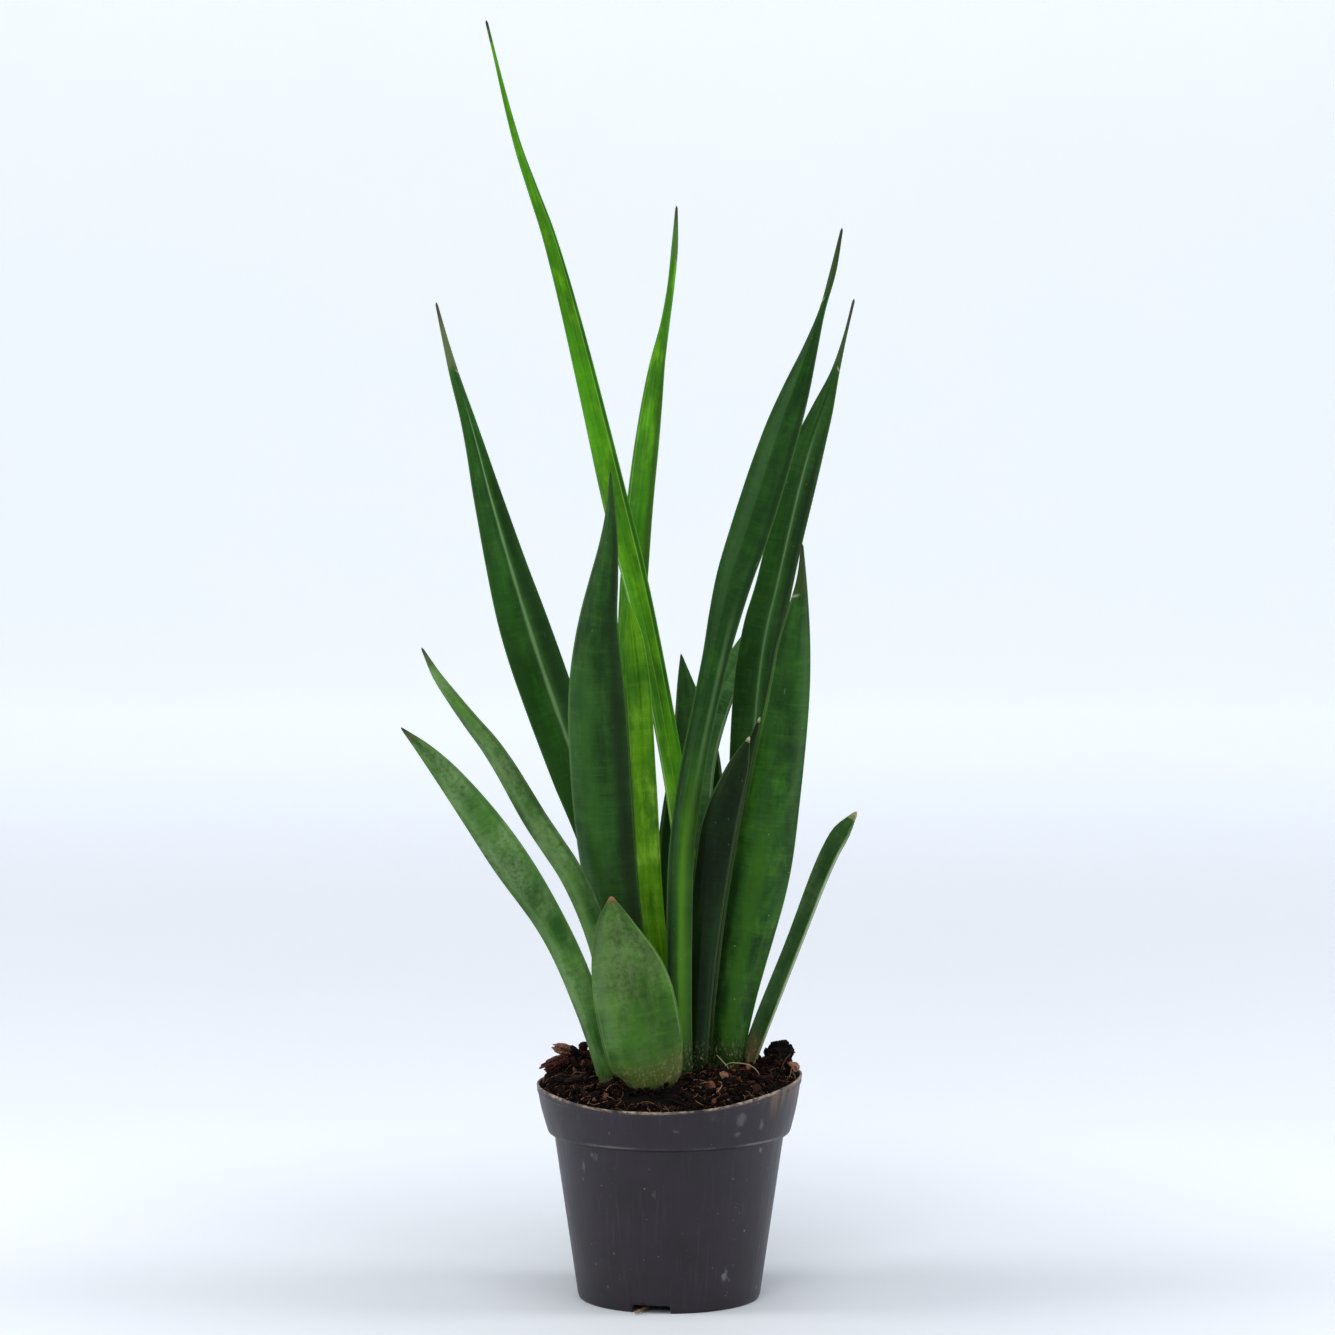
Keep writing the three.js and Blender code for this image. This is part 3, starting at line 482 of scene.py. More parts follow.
# Painted light among the stripes: the wide dark stripes down a wing of leaf_tallest,
# along the middle of leaf_tallest, leaf_tall_left, leaf_tall_right_back and leaf_narrow_back
# are a painted sheen. The bright stripes low on leaf_tall_right are a painted highlight on
# are painted shade on the wing that turns from the light. The dark stripe low on
# inner face of leaf_folded_right is painted shade inside the fold. The narrow pale stripes
# its lit keel. On leaf_young_centre the dark middle line is painted shade in the groove, and
# leaf_bright_back, leaf_broad_left, leaf_tall_left, leaf_tall_right and leaf_tall_right_back
# leaf_broad_right is a painted shadow from the leaf in front of it. The dark stripe on the
# leaves' own markings and margin lines.
# the pale lines beside it are painted highlights on the folds. The other stripes are the
LEAVES = {
    "leaf_tallest": (YOUNG, {"crease": 0.3}, {
        "awl": (9, "3f4a20", "2a2118"),
        "stripes_and_painted_light": [
            (0.86, 0.13, 0.3, 0.99, "1f4a12", 0.85, 1),
            (0.68, 0.035, 0.3, 0.93, "8dbd50", 0.6, 1),
            (0.0, 0.05, 0.05, 0.5, "9cc45a", 0.35, 1),
            (-0.93, 0.06, 0.05, 0.6, "a9cc74", 0.6, 1),
        ]}),
    "leaf_bright_back": (YOUNG, {"crease": 0.3}, {
        "main": "3a800c", "light": "64ac16", "patches": 0.9,
        "awl": (24, "486a34", "3a3a24"),
        "stripes_and_painted_light": [
            (0.78, 0.24, 0.1, 0.9, "33521a", 0.85, 1),
            (-0.88, 0.05, 0.3, 0.9, "86b83c", 0.4, 1),
        ]}),
    "leaf_young_centre": (YOUNG, {"crease": 0.45, "keel": 0.3}, {
        "main": "62a012", "light": "9ad43e", "patches": 0.8, "ribs": 0.05, "lights": (0.34, 0.86),
        "stripes_and_painted_light": [
            (0.0, 0.04, 0.02, 0.42, "346c0a", 0.35, 1),
            (0.45, 0.05, 0.02, 0.5, "7db42e", 0.6, 1),
            (-0.5, 0.06, 0.02, 0.5, "7db42e", 0.5, 1),
            (0.9, 0.08, 0.4, 0.98, "2f5f12", 0.45, 1),
            (-0.9, 0.07, 0.5, 0.98, "2f5f12", 0.35, 1),
        ]}),
    "leaf_broad_left": (DEEP, {"keel": 0.15}, {
        "main": "26501a", "light": "3f6e24", "patches": 0.35,
        "stripes_and_painted_light": [
            (-0.78, 0.26, 0.1, 0.99, "15220c", 0.75, 0),
            (0.25, 0.3, 0.3, 0.8, "345f20", 0.3, 0),
            (0.97, 0.03, 0.2, 0.95, "52783a", 0.5, 0),
        ]}),
    "leaf_tall_left": (DEEP, {"crease": 0.4}, {
        "dark": "193f10", "main": "2a5c1b", "light": "457c2c",
        "awl": (31, "646e4a", "48412f"),
        "stripes_and_painted_light": [
            (0.3, 0.14, 0.12, 0.82, "426b32", 0.55, 1),
            (0.24, 0.075, 0.2, 0.92, "84a874", 0.6, 1),
            (0.72, 0.3, 0.3, 0.86, "102c09", 0.7, 1),
            (-0.7, 0.3, 0.1, 0.95, "1a4410", 0.5, 1),
        ]}),
    "leaf_arching_left": (DUSTY, {"crease": 0.2, "keel": 0.2}, {
        "main": "4a7830", "awl": (9, "4a5432", "463a2e"),
        "stripes_and_painted_light": [
            (0.3, 0.3, 0.1, 0.9, "6b8a58", 0.35, 0),
            (-0.85, 0.16, 0.1, 0.95, "2f4f28", 0.6, 0),
        ]}),
    "leaf_low_left": (DUSTY, {"crease": 0.2, "keel": 0.15}, {
        "awl": (8, "4a5432", "3e362a"),
        "stripes_and_painted_light": [
            (0.55, 0.22, 0.1, 0.9, "6d8c5a", 0.35, 0),
            (-0.9, 0.1, 0.1, 0.95, "39602f", 0.5, 0),
        ]}),
    "leaf_short_front": (DUSTY, {"keel": 0.1, "wave": 1.4}, {
        "dark": "20400f", "main": "36601a", "light": "4f8a24", "patches": 0.55, "dust_and_sheen": 0.5,
        "bloom_and_sheen": "74865a", "bands": 0.5, "ribs": 0.2,
        "foot": "5a5c2e", "foot_top": 0.041, "awl": (2.2, "54522e", "8a6448"),
        "stripes_and_painted_light": [
            (0.0, 0.42, 0.1, 0.62, "36691a", 0.55, 0),
            (0.78, 0.24, 0.35, 0.97, "64785a", 0.3, 0),
            (-0.97, 0.02, 0.35, 0.98, "87a06a", 0.35, 0),
            (0.95, 0.02, 0.12, 0.7, "6f8c5c", 0.3, 0),
            (-0.75, 0.2, 0.1, 0.6, "2a4a1e", 0.45, 0),
        ]}),
    "leaf_tall_right": (DEEP, {"keel": 0.7}, {
        "main": "163e0c", "light": "2e6416", "patches": 0.45,
        "awl": (30, "35471f", "3a3828"),
        "stripes_and_painted_light": [
            (0.3, 0.3, 0.5, 0.9, "24501a", 0.4, 0),
            (-0.85, 0.14, 0.4, 0.95, "0e2a08", 0.7, 0),
            (-0.6, 0.16, 0.3, 0.6, "587a4a", 0.5, 0),
            (-0.36, 0.55, 0.02, 0.44, "3d6a12", 0.8, 0),
            (-0.3, 0.25, 0.02, 0.38, "568a20", 0.45, 0),
            (0.75, 0.2, 0.05, 0.5, "10300c", 0.8, 0),
            (0.96, 0.03, 0.1, 0.6, "5c7c48", 0.5, 0),
        ]}),
    "leaf_tall_right_back": (DEEP, {"crease": 0.4}, {
        "dark": "15370d", "main": "214d15", "light": "3f6e2a",
        "awl": (31, "3c4e28", "3e3a2a"),
        "stripes_and_painted_light": [
            (0.1, 0.2, 0.15, 0.88, "426a38", 0.55, 1),
            (0.1, 0.055, 0.35, 0.86, "7c9a6c", 0.4, 1),
            (0.72, 0.28, 0.2, 0.88, "0d260a", 0.75, 1),
        ]}),
    "leaf_broad_right": (DEEP, {"keel": 0.12}, {
        "main": "285617", "light": "467c20", "patches": 0.6, "lights": (0.02, 0.75),
        "dust_and_sheen": 0.25, "specks": 0.8, "awl": (21, "34421e", "3a3524"),
        "stripes_and_painted_light": [
            (0.25, 0.3, 0.05, 0.55, "3a6c14", 0.55, 0),
            (0.95, 0.04, 0.5, 0.97, "5c7c44", 0.5, 0),
            (0.85, 0.14, 0.02, 0.5, "15290f", 0.85, 0),
            (-0.7, 0.2, 0.5, 0.97, "3c5a2e", 0.4, 0),
        ]}),
    "leaf_nested_right": (DEEP, {"crease": 0.2}, {
        "dark": "081705", "main": "0f2b08", "light": "1c400e", "dust_and_sheen": 0.1,
        "awl": (1.3, "7a8458", "b0ac8a"),
        "stripes_and_painted_light": [(0.94, 0.05, 0.5, 0.99, "4c683a", 0.5, 0),
                    (-0.94, 0.05, 0.2, 0.99, "46583c", 0.4, 0)]}),
    "leaf_nested_front": (DEEP, {"keel": 0.1}, {
        "dark": "061403", "main": "0d2306", "light": "18380a", "dust_and_sheen": 0.06,
        "awl": (1.3, "7a8458", "b0ac8a"),
        "stripes_and_painted_light": [(0.95, 0.035, 0.45, 0.99, "5c7a42", 0.6, 0),
                    (-0.95, 0.035, 0.1, 0.95, "344c2c", 0.5, 0),
                    (-0.7, 0.2, 0.1, 0.6, "16360e", 0.5, 0)]}),
    "leaf_dark_back": (DEEP, {"crease": 0.3}, {
        "dark": "1a3814", "main": "294d1f", "light": "40702f", "dust_and_sheen": 0.25,
        "stripes_and_painted_light": [(0.95, 0.04, 0.4, 0.98, "6d8d5c", 0.6, 1),
                    (-0.95, 0.04, 0.4, 0.98, "6d8d5c", 0.5, 1)]}),
    "leaf_narrow_back": (DEEP, {"crease": 0.3}, {
        "dark": "1c4a18", "main": "4e7e42", "light": "74a266", "dust_and_sheen": 0.4,
        "stripes_and_painted_light": [(0.0, 0.08, 0.3, 0.95, "5e7e52", 0.5, 1),
                    (0.9, 0.08, 0.3, 0.98, "7f9c74", 0.6, 1)]}),
    "leaf_folded_right": (DUSTY, {"crease": 0.2}, {
        "main": "35602c", "light": "5a8048", "dust_and_sheen": 0.4, "specks": 0.9,
        "foot": "6f5a3c", "foot_top": 0.045, "awl": (3, "8f9468", "a39a74"),
        "stripes_and_painted_light": [(0.6, 0.5, 0.02, 0.95, "8fa184", 0.8, 0),
                    (-0.4, 0.5, 0.1, 0.98, "1d3a1a", 0.6, 1),
                    (0.95, 0.05, 0.1, 0.98, "b7c2a4", 0.6, None)]}),
}

feet = []
for number, (node, (kind, shape, skin)) in enumerate(LEAVES.items()):
    look = {**kind, **skin}
    leaf_slot = look.pop("slot")
    skin_of = leaf_finish("skin_" + node[5:], number + 1, **look)
    feet.append(leaf(node, skin_of, leaf_slot, 40 + number, **shape))
FEET = np.array(feet) - [*AXIS, 0]   # where each leaf leaves the soil, and its half width


# ---- Pot ----------------------------------------------------------------------------------

SOFT_FROM = 77.3 * MM         # height on the collar above which the wall waves with the lip
COLLAR_STEP = 76.1 * MM
FLOOR_UNDERSIDE, FLOOR_TOP, FLOOR_RADIUS = 4.4 * MM, 6 * MM, 37 * MM
NOTCH_HALF = 8.75 * MM        # half the width of a notch in the foot ring
NOTCH_HEIGHT = 3.4 * MM
NOTCH_ROUND = 1.5 * MM        # radius of its upper corners
NOTCH_FADE = 6.5 * MM         # height on the outside at which a notch leaves no trace
FOOT_RADIUS = 41 * MM         # of the foot ring's outside
FOOT_MIDDLE = 39.6 * MM       # and halfway through it
HOLE_RADIUS = 4 * MM
HOLE_RING = 30 * MM
DRAIN_PHASE = math.radians(-101.4)

# The wall in section as [radius, height, rounding] in millimetres, from under the middle of
# the floor, round the foot ring, up the outside to the lip and down the inside.
POT_SECTION = [
    [4, 4.4, 0], [37.6, 4.4, 0.8], [38.8, 0, 0.35], [40.6, 0, 0.5], [41.3, 1.6, 1.2],
    [51.8, 74, 0.9], [52.6, 75.2, 0.7], [54.5, 75.35, 0.7], [55.1, 77, 1.0], [57.9, 86.3, 3.0],
    [59.3, 93.0, 0.3], [59.75, 93.5, 0.3], [59.7, 94.2, 0.3], [60.0, 96.5, 0.55],
    [58.9, 96.5, 0.5], [57.3, 88.6, 3.0], [53.5, 77.5, 1.5], [50.3, 73.3, 1.5], [40.3, 7, 1.0],
    [39.2, 6, 0.5], [4, 6, 0],
]


def rounded(corners, steps=6):
    """A line through corners, each rounded by the curve (1-t)^2 a + 2 t (1-t) p + t^2 b."""
    line = [corners[0][:2]]
    t = np.linspace(0, 1, steps)[:, None]
    for before, (r, z, size), after in zip(corners, corners[1:-1], corners[2:]):
        corner = np.array([r, z])
        a = corner + size * unit(np.array(before[:2]) - corner)
        b = corner + size * unit(np.array(after[:2]) - corner)
        line.extend(((1 - t)**2 * a + 2 * t * (1 - t) * corner + t**2 * b).tolist())
    line.append(corners[-1][:2])
    return np.array(line)


def lip_rise(angle, z):
    """How far the soft lip stands above its mean: 2.9 cos(2a) + 2.15 cos(a) mm, full at the
    lip and fading down the collar."""
    t = np.clip((z - SOFT_FROM) / (LIP_HEIGHT - SOFT_FROM), 0, 1)
    share = t * t * (3 - 2 * t)
    return share * (LIP_WAVE * np.cos(2 * angle) + LIP_TILT * np.cos(angle))


def notch_rise(angle):
    """Height of the foot ring's three notches at an angle: flat on top, with round corners."""
    away = np.abs((angle - DRAIN_PHASE + math.pi / 3) % (2 * math.pi / 3) - math.pi / 3)
    t = FOOT_RADIUS * np.sin(away)
    corner = np.clip(t - NOTCH_HALF + NOTCH_ROUND, 0, NOTCH_ROUND)
    height = NOTCH_HEIGHT - NOTCH_ROUND + np.sqrt(NOTCH_ROUND**2 - corner**2)
    return np.where(t <= NOTCH_HALF + 1e-7, height, 0)


def pot_angles():
    """Evenly spaced angles, and more at the sides of the notches."""
    even = np.linspace(-math.pi, math.pi, 240, endpoint=False)
    steps = np.concatenate([NOTCH_HALF - NOTCH_ROUND * np.array([1, 0.7, 0.45, 0.25, 0.1, 0]),
                            [NOTCH_HALF + 0.06 * MM]])
    edge = np.arcsin(steps / FOOT_RADIUS)
    extra = [DRAIN_PHASE + k * 2 * math.pi / 3 + sign * edge for k in range(3) for sign in (-1, 1)]
    extra = (np.concatenate(extra) + math.pi) % (2 * math.pi) - math.pi
    gap = np.abs(even[:, None] - extra[None, :]).min(1)
    return np.sort(np.concatenate([even[gap > 0.004], extra]))


def pot_shell(material):
    """The pot: its section carried round the axis, lifted by the lip's wave and the notches.
    Towards the lip it is dented by 0.3 sin(3a + 0.6) mm outwards and 0.16 sin(7a + 1) mm up.
    The drain holes are cut last."""
    line = rounded(POT_SECTION) * MM
    long = np.flatnonzero(np.linalg.norm(np.diff(line, axis=0), axis=1) > 12 * MM)
    for i in long[::-1]:
        between = np.linspace(line[i], line[i + 1], 9)[1:-1]
        line = np.insert(line, i + 1, between, axis=0)
    angle = pot_angles()
    radius, height = line[:, :1], line[:, 1:]
    foot_top = np.where(radius < FOOT_MIDDLE, FLOOR_UNDERSIDE, NOTCH_FADE)
    on_foot = (height < foot_top - 1e-6) & (radius > FLOOR_RADIUS)
    z = np.where(on_foot, notch_rise(angle) * (1 - height / foot_top) + height, height)
    lift = lip_rise(angle, height)
    near_lip = np.clip((height - 82 * MM) / (14 * MM), 0, 1)**2
    dent = near_lip * 0.3 * MM * np.sin(3 * angle + 0.6)
    z = z + lift + near_lip * 0.16 * MM * np.sin(7 * angle + 1)
    grid = np.stack([AXIS[0] + (radius + dent) * np.cos(angle),
                     AXIS[1] + (radius + dent) * np.sin(angle), z], -1)
    under = np.array([AXIS[0], AXIS[1], FLOOR_UNDERSIDE])
    inside = np.array([AXIS[0], AXIS[1], FLOOR_TOP])
    points, faces = closed_tube(grid, under, inside)
    made = piece("pot_shell", points, faces, material, "pot", ["pot"])
    drill(made)
    measure_wall(made.data)


def measure_wall(mesh):
    """Stores each point's angle, depth below the lip and height, with the lip's wave taken
    out by a few rounds of z = height - lift(z)."""
    points = np.empty(3 * len(mesh.vertices), np.float32)
    mesh.vertices.foreach_get("co", points)
    x, y, height = points.reshape(-1, 3).T
    angle = np.arctan2(y - AXIS[1], x - AXIS[0])
    level = height
    for _ in range(8):
        level = height - lip_rise(angle, level)
    store(mesh, "wall", np.stack([angle, LIP_HEIGHT - level, level], -1))


def drill(made):
    """Cuts the middle drain hole and the six round it, each with a round bit of 28 sides."""
    turn = np.linspace(0, 2 * math.pi, 28, endpoint=False)
    ring = np.stack([np.cos(turn), np.sin(turn)], -1) * HOLE_RADIUS
    bits, faces = [], []
    centres = [np.zeros(2), *[HOLE_RING * np.array([math.cos(a), math.sin(a)])
                              for a in DRAIN_PHASE + np.arange(6) * math.pi / 3]]
    low, high = FLOOR_UNDERSIDE - 1.4 * MM, FLOOR_TOP + 2 * MM
    for number, centre in enumerate(centres):
        around = ring + centre + AXIS
        levels = [np.column_stack([around, np.full(len(ring), z)]) for z in (low, high)]
        points, sides = closed_tube(np.array(levels), [*(centre + AXIS), low],
                                    [*(centre + AXIS), high])
        faces += [[corner + number * len(points) for corner in side] for side in sides]
        bits.append(points)
    tool = mesh_object("drill_bits", np.vstack(bits), faces, smooth=False)
    cut = made.modifiers.new("holes", "BOOLEAN")
    cut.object = tool
    cut.operation = "DIFFERENCE"
    cut.solver = "EXACT"
    view = bpy.context.evaluated_depsgraph_get()
    drilled = bpy.data.meshes.new_from_object(made.evaluated_get(view))
    made.modifiers.clear()
    made.data = drilled
    bpy.data.objects.remove(tool)


MEAN_RADIUS = 50              # of the wall, in millimetres

# Scuffs on the pot: angle in degrees, height, half width, half height (mm), strength.
POT_MARKS = [
    (-56.6, 88, 2.2, 4.5, 0.3), (-57.8, 82, 1.6, 1.4, 0.35), (-44.3, 83.5, 1.6, 2.2, 0.3),
    (-37.9, 71.7, 1.2, 1.4, 0.5), (-131, 70.4, 1.8, 1.6, 0.35), (-138.7, 64.4, 1.4, 3.0, 0.3),
    (-140.6, 59, 1.4, 1.2, 0.3), (-55.3, 15.7, 2.6, 3.2, 0.55), (-20.5, 6.7, 1.6, 1.2, 0.5),
    (-129.7, 10.7, 1.2, 1.0, 0.4), (-98, 55, 1.4, 1.8, 0.15), (-87, 85.8, 1.3, 1.0, 0.25),
    (35, 60, 2.5, 5.0, 0.35), (80, 30, 3.0, 2.0, 0.4), (120, 84, 2.0, 3.5, 0.4),
    (160, 22, 2.2, 4.0, 0.35),
]


def pot_finish():
    """Charcoal plastic: faint cloudiness and vertical rubs, dust and soil below the lip, pale
    wear on the lip, a painted highlight along the collar's step that is fainter at the front,
    scuffs and specks."""
    f = Finish("charcoal_plastic", Specular_IOR_Level=0.4)
    angle, below, height = f.split(f.attribute("wall"))
    place = f.place()
    f.ground("1a141b", "231c25", f.step(f.noise(place, 45, 4, 0.6), 0.3, 0.7))
    rubs = f.noise(f.join(f.times(angle, 26), f.times(height, 34)), 1.0, 4)
    f.coat("3a343c", f.step(rubs, 0.5, 0.8), 0.5)
    dusty = f.clouds(place, 120, 120, 60, 5, 0.7)
    f.coat("7d736b", f.step(below, 0.02, 0.002), f.step(dusty, 0.55, 0.85), 0.25)
    f.coat("8c877f", f.step(f.noise(place, 520, 3, 0.6), 0.7, 0.76), 0.6)
    torn = f.times(f.clouds(place, 420, 420, 260, 4, 0.6), 3.4)
    level = f.times(height, 1 / MM)
    scuff = 0.0
    for turned_to, middle, wide, tall, strength in POT_MARKS:
        across = f.times(f.less(angle, math.radians(turned_to)), MEAN_RADIUS)
        across = f.math("DIVIDE", across, wide)
        up = f.math("DIVIDE", f.less(level, middle), tall)
        away = f.math("SQRT", f.plus(f.times(across, across), f.times(up, up)))
        mark = f.step(f.plus(away, torn), 2.9, 1.9, 0.0, 0.75 * strength)
        scuff = f.math("MAXIMUM", scuff, mark)
    f.coat("8a868c", scuff)
    side = f.step(f.size(f.plus(angle, 0.45)), 0.4, 0.12)
    stain = f.noise(f.join(f.times(angle, 16), f.times(height, 40)), 1.0, 4)
    f.coat("8a6b4e", f.step(stain, 0.35, 0.75), f.step(below, 0.013, 0.001), side, 0.6)
    # A painted highlight along the edge of the collar's step, fainter at the front.
    painted_step_highlight = f.step(f.size(f.less(height, COLLAR_STEP)), 0.0009, 0.0002)
    broken = f.noise(f.join(f.times(angle, 2.2), 3.1), 1.0, 5, 0.6)
    off_front = f.step(f.size(f.plus(angle, math.pi / 2)), 0.15, 0.7, 0.25, 1.0)
    f.coat("7b7678", painted_step_highlight, f.step(broken, 0.4, 0.62), off_front, 0.6)
    lip = f.noise(f.join(f.times(angle, 22), f.times(below, 900)), 1.0, 5, 0.7)
    patchy = f.noise(f.join(f.times(angle, 5), 0.7), 1.0, 3)
    worn = f.times(f.step(below, 0.0016, 0.0004), f.step(patchy, 0.32, 0.6))
    f.coat("b39f8a", worn, f.step(lip, 0.36, 0.6), 0.9)
    rough = f.plus(f.step(rubs, 0.3, 0.75, 0.4, 0.52), f.times(worn, 0.3))
    fine = f.noise(place, 2200, 3, 0.6)
    return f.use(rough, (rubs, 0.12, 0.3), (fine, 0.15, 0.06), (f.plus(scuff, worn), 0.3, 0.12))


pot_shell(pot_finish())


# ---- Bark mix -----------------------------------------------------------------------------

SOIL_EDGE = 94.4 * MM         # height at the wall, before the lip's wave
SOIL_CROWN = 104.5 * MM       # height at the middle
SOIL_RADIUS = 57.7 * MM
HEAPS = [(-47 * MM, 14 * MM), (49 * MM, 9 * MM)]


def lumps(x, y, size, seed):
    """Random heights from -1 to 1 on a square lattice of that size, joined by smooth steps."""
    heights = np.random.default_rng(seed).uniform(-1, 1, (64, 64))
    across, up = x / size + 31.7, y / size + 17.3
    i, j = np.floor(across).astype(int), np.floor(up).astype(int)
    a, b = across - i, up - j
    a, b = a * a * (3 - 2 * a), b * b * (3 - 2 * b)

    def at(di, dj):
        return heights[(i + di) % 64, (j + dj) % 64]

    return (at(0, 0) * (1 - a) * (1 - b) + at(1, 0) * a * (1 - b)
            + at(0, 1) * (1 - a) * b + at(1, 1) * a * b)


def mound(x, y):
    """Height of the mix at a place measured from the pot's axis: a dome (1 - share^2.2) on the
    edge height, slow lumps, and a heap exp(-d^2/120) at each side."""
    share = np.clip(np.hypot(x, y) / SOIL_RADIUS, 0, 1)
    edge = share**2 * lip_rise(np.arctan2(y, x), SOIL_EDGE)
    dome = (SOIL_CROWN - SOIL_EDGE) * (1 - share**2.2)
    slow = 0.8 * MM * np.sin(210 * x + 1) * np.cos(170 * y - 0.5) * (1 - share**6)
    heaps = sum(6.5 * MM * np.exp(-((x - cx)**2 + (y - cy)**2) / (120 * MM**2))
                for cx, cy in HEAPS)
    return SOIL_EDGE + edge + dome + slow + heaps


def soil_body(material):
    """The filling of the pot: rings down its side and a rough mound with three sizes of lump."""
    angle = np.linspace(-math.pi, math.pi, 288, endpoint=False)
    side = np.array([[38.6, 6.4], [39.6, 7.4], [49.8, 73.5], [52.9, 77.9]]) * MM
    rings = [np.stack([r * np.cos(angle), r * np.sin(angle), np.full_like(angle, z)], -1)
             for r, z in side]
    for share in np.concatenate([np.linspace(1, 0.1, 58), [0.05]]):
        x, y = share * SOIL_RADIUS * np.cos(angle), share * SOIL_RADIUS * np.sin(angle)
        rough = (0.9 * lumps(x, y, 6.1 * MM, 3) + 0.65 * lumps(x, y, 2.7 * MM, 4)
                 + 0.4 * lumps(x, y, 1.3 * MM, 5)) * MM * (1 - 0.6 * share**8)
        rings.append(np.stack([x, y, mound(x, y) + rough], -1))
    grid = np.array(rings)
    grid[..., :2] += AXIS
    bottom = np.array([*AXIS, 6.4 * MM])
    crown = np.array([*AXIS, mound(0.0, 0.0)])
    points, faces = closed_tube(grid, bottom, crown)
    piece("soil_body", points, faces, material, "soil", ["soil"])


def grit_shape(rings, columns):
    """Directions over a ball on a grid of rings and columns, with its two poles, and faces."""
    polar = np.linspace(0, math.pi, rings + 2)[1:-1]
    turn = np.linspace(0, 2 * math.pi, columns, endpoint=False)
    polar = math.pi - polar[:, None]
    grid = np.stack([np.sin(polar) * np.cos(turn), np.sin(polar) * np.sin(turn),
                     np.cos(polar) + 0 * turn], -1)
    return closed_tube(grid, np.array([0, 0, -1.0]), np.array([0, 0, 1.0]))


def turned(draw, count):
    """Random rotations, from random unit quaternions."""
    w, x, y, z = unit(draw.normal(size=(count, 4))).T
    return np.stack([
        np.stack([1 - 2 * (y * y + z * z), 2 * (x * y - z * w), 2 * (x * z + y * w)], -1),
        np.stack([2 * (x * y + z * w), 1 - 2 * (x * x + z * z), 2 * (y * z - x * w)], -1),
        np.stack([2 * (x * z - y * w), 2 * (y * z + x * w), 1 - 2 * (x * x + y * y)], -1),
    ], 1)


def grit(name, material, slot, centres, sizes, draw, grid=(4, 7), flat=0.5, tones=None):
    """Crumbs: one ball shape with each point pushed in or out at random, squared off with
    |p|^0.8, squeezed to its own length, width and thickness, and turned at random."""
    ball, faces = grit_shape(*grid)
    ball = np.sign(ball) * np.abs(ball)**0.8
    count = len(centres)
    squeeze = np.stack([np.ones(count), draw.uniform(0.28, 0.7, count),
                        draw.uniform(0.4 * flat, flat, count)], -1)
    push = draw.uniform(0.6, 1.2, (count, len(ball), 1))
    shapes = ball[None] * push * (squeeze * sizes[:, None] / 2)[:, None]
    points = np.einsum("nij,nkj->nki", turned(draw, count), shapes) + centres[:, None]
    offsets = np.arange(count)[:, None] * len(ball)
    quads = np.array([face for face in faces if len(face) == 4])
    fans = np.array([face for face in faces if len(face) == 3])
    every = [*(quads[None] + offsets[..., None]).reshape(-1, 4).tolist(),
             *(fans[None] + offsets[..., None]).reshape(-1, 3).tolist()]
    tones = draw.uniform(0, 1, count) if tones is None else tones
    tone = np.repeat(np.stack([tones, draw.uniform(0, 9, count), tones], -1), len(ball), axis=0)
    piece(name, points.reshape(-1, 3), every, material, slot, smooth=False, tone=tone)


def scatter(draw, count, reach, clear=0.0):
    """Random places spread evenly over the mound's disc, none nearer than clear to a leaf."""
    places = np.empty((0, 2))
    while len(places) < count:
        radius = reach * np.sqrt(draw.uniform(0, 1, count))
        angle = draw.uniform(-math.pi, math.pi, count)
        found = np.stack([radius * np.cos(angle), radius * np.sin(angle)], -1)
        away = np.linalg.norm(found[:, None] - FEET[None, :, :2], axis=2) - FEET[None, :, 2]
        places = np.vstack([places, found[away.min(1) > clear]])
    places = places[:count]
    return np.column_stack([places + AXIS, mound(places[:, 0], places[:, 1])])


def round_rings(path, radius, sides, fixed):
    """Circles of points round paths. Each begins square to the path and to a fixed direction."""
    ahead = unit(np.gradient(path, axis=-2))
    side = unit(np.cross(ahead, np.array(fixed)))
    up = np.cross(ahead, side)
    turn = np.linspace(0, 2 * math.pi, sides, endpoint=False)[:, None]
    ring = side[..., None, :] * np.cos(turn) + up[..., None, :] * np.sin(turn)
    return path[..., None, :] + ring * radius[..., None, None]


def strands(name, material, paths, radii, draw, sides, tones=None):
    """Fibres: a ring of points carried along each path, thinner at both ends as
    1 - 0.75 |2t - 1|^4, and each fibre closed by a point at its ends."""
    count, stations = paths.shape[:2]
    swell = 1 - 0.75 * np.abs(2 * np.linspace(0, 1, stations) - 1)**4
    grids = round_rings(paths, radii[:, None] * swell, sides, (0.31, 0.17, 0.93))
    all_points, all_faces, offset = [], [], 0
    for grid, path in zip(grids, paths):
        points, faces = closed_tube(grid, 1.02 * path[0] - 0.02 * path[1],
                                    1.02 * path[-1] - 0.02 * path[-2])
        all_points.append(points)
        all_faces += [[corner + offset for corner in face] for face in faces]
        offset += len(points)
    tones = draw.uniform(0, 1, count) if tones is None else tones
    tone = np.repeat(np.stack([tones, draw.uniform(0, 9, count), tones], -1),
                     stations * sides + 2, axis=0)
    piece(name, np.vstack(all_points), all_faces, material, "root", tone=tone)


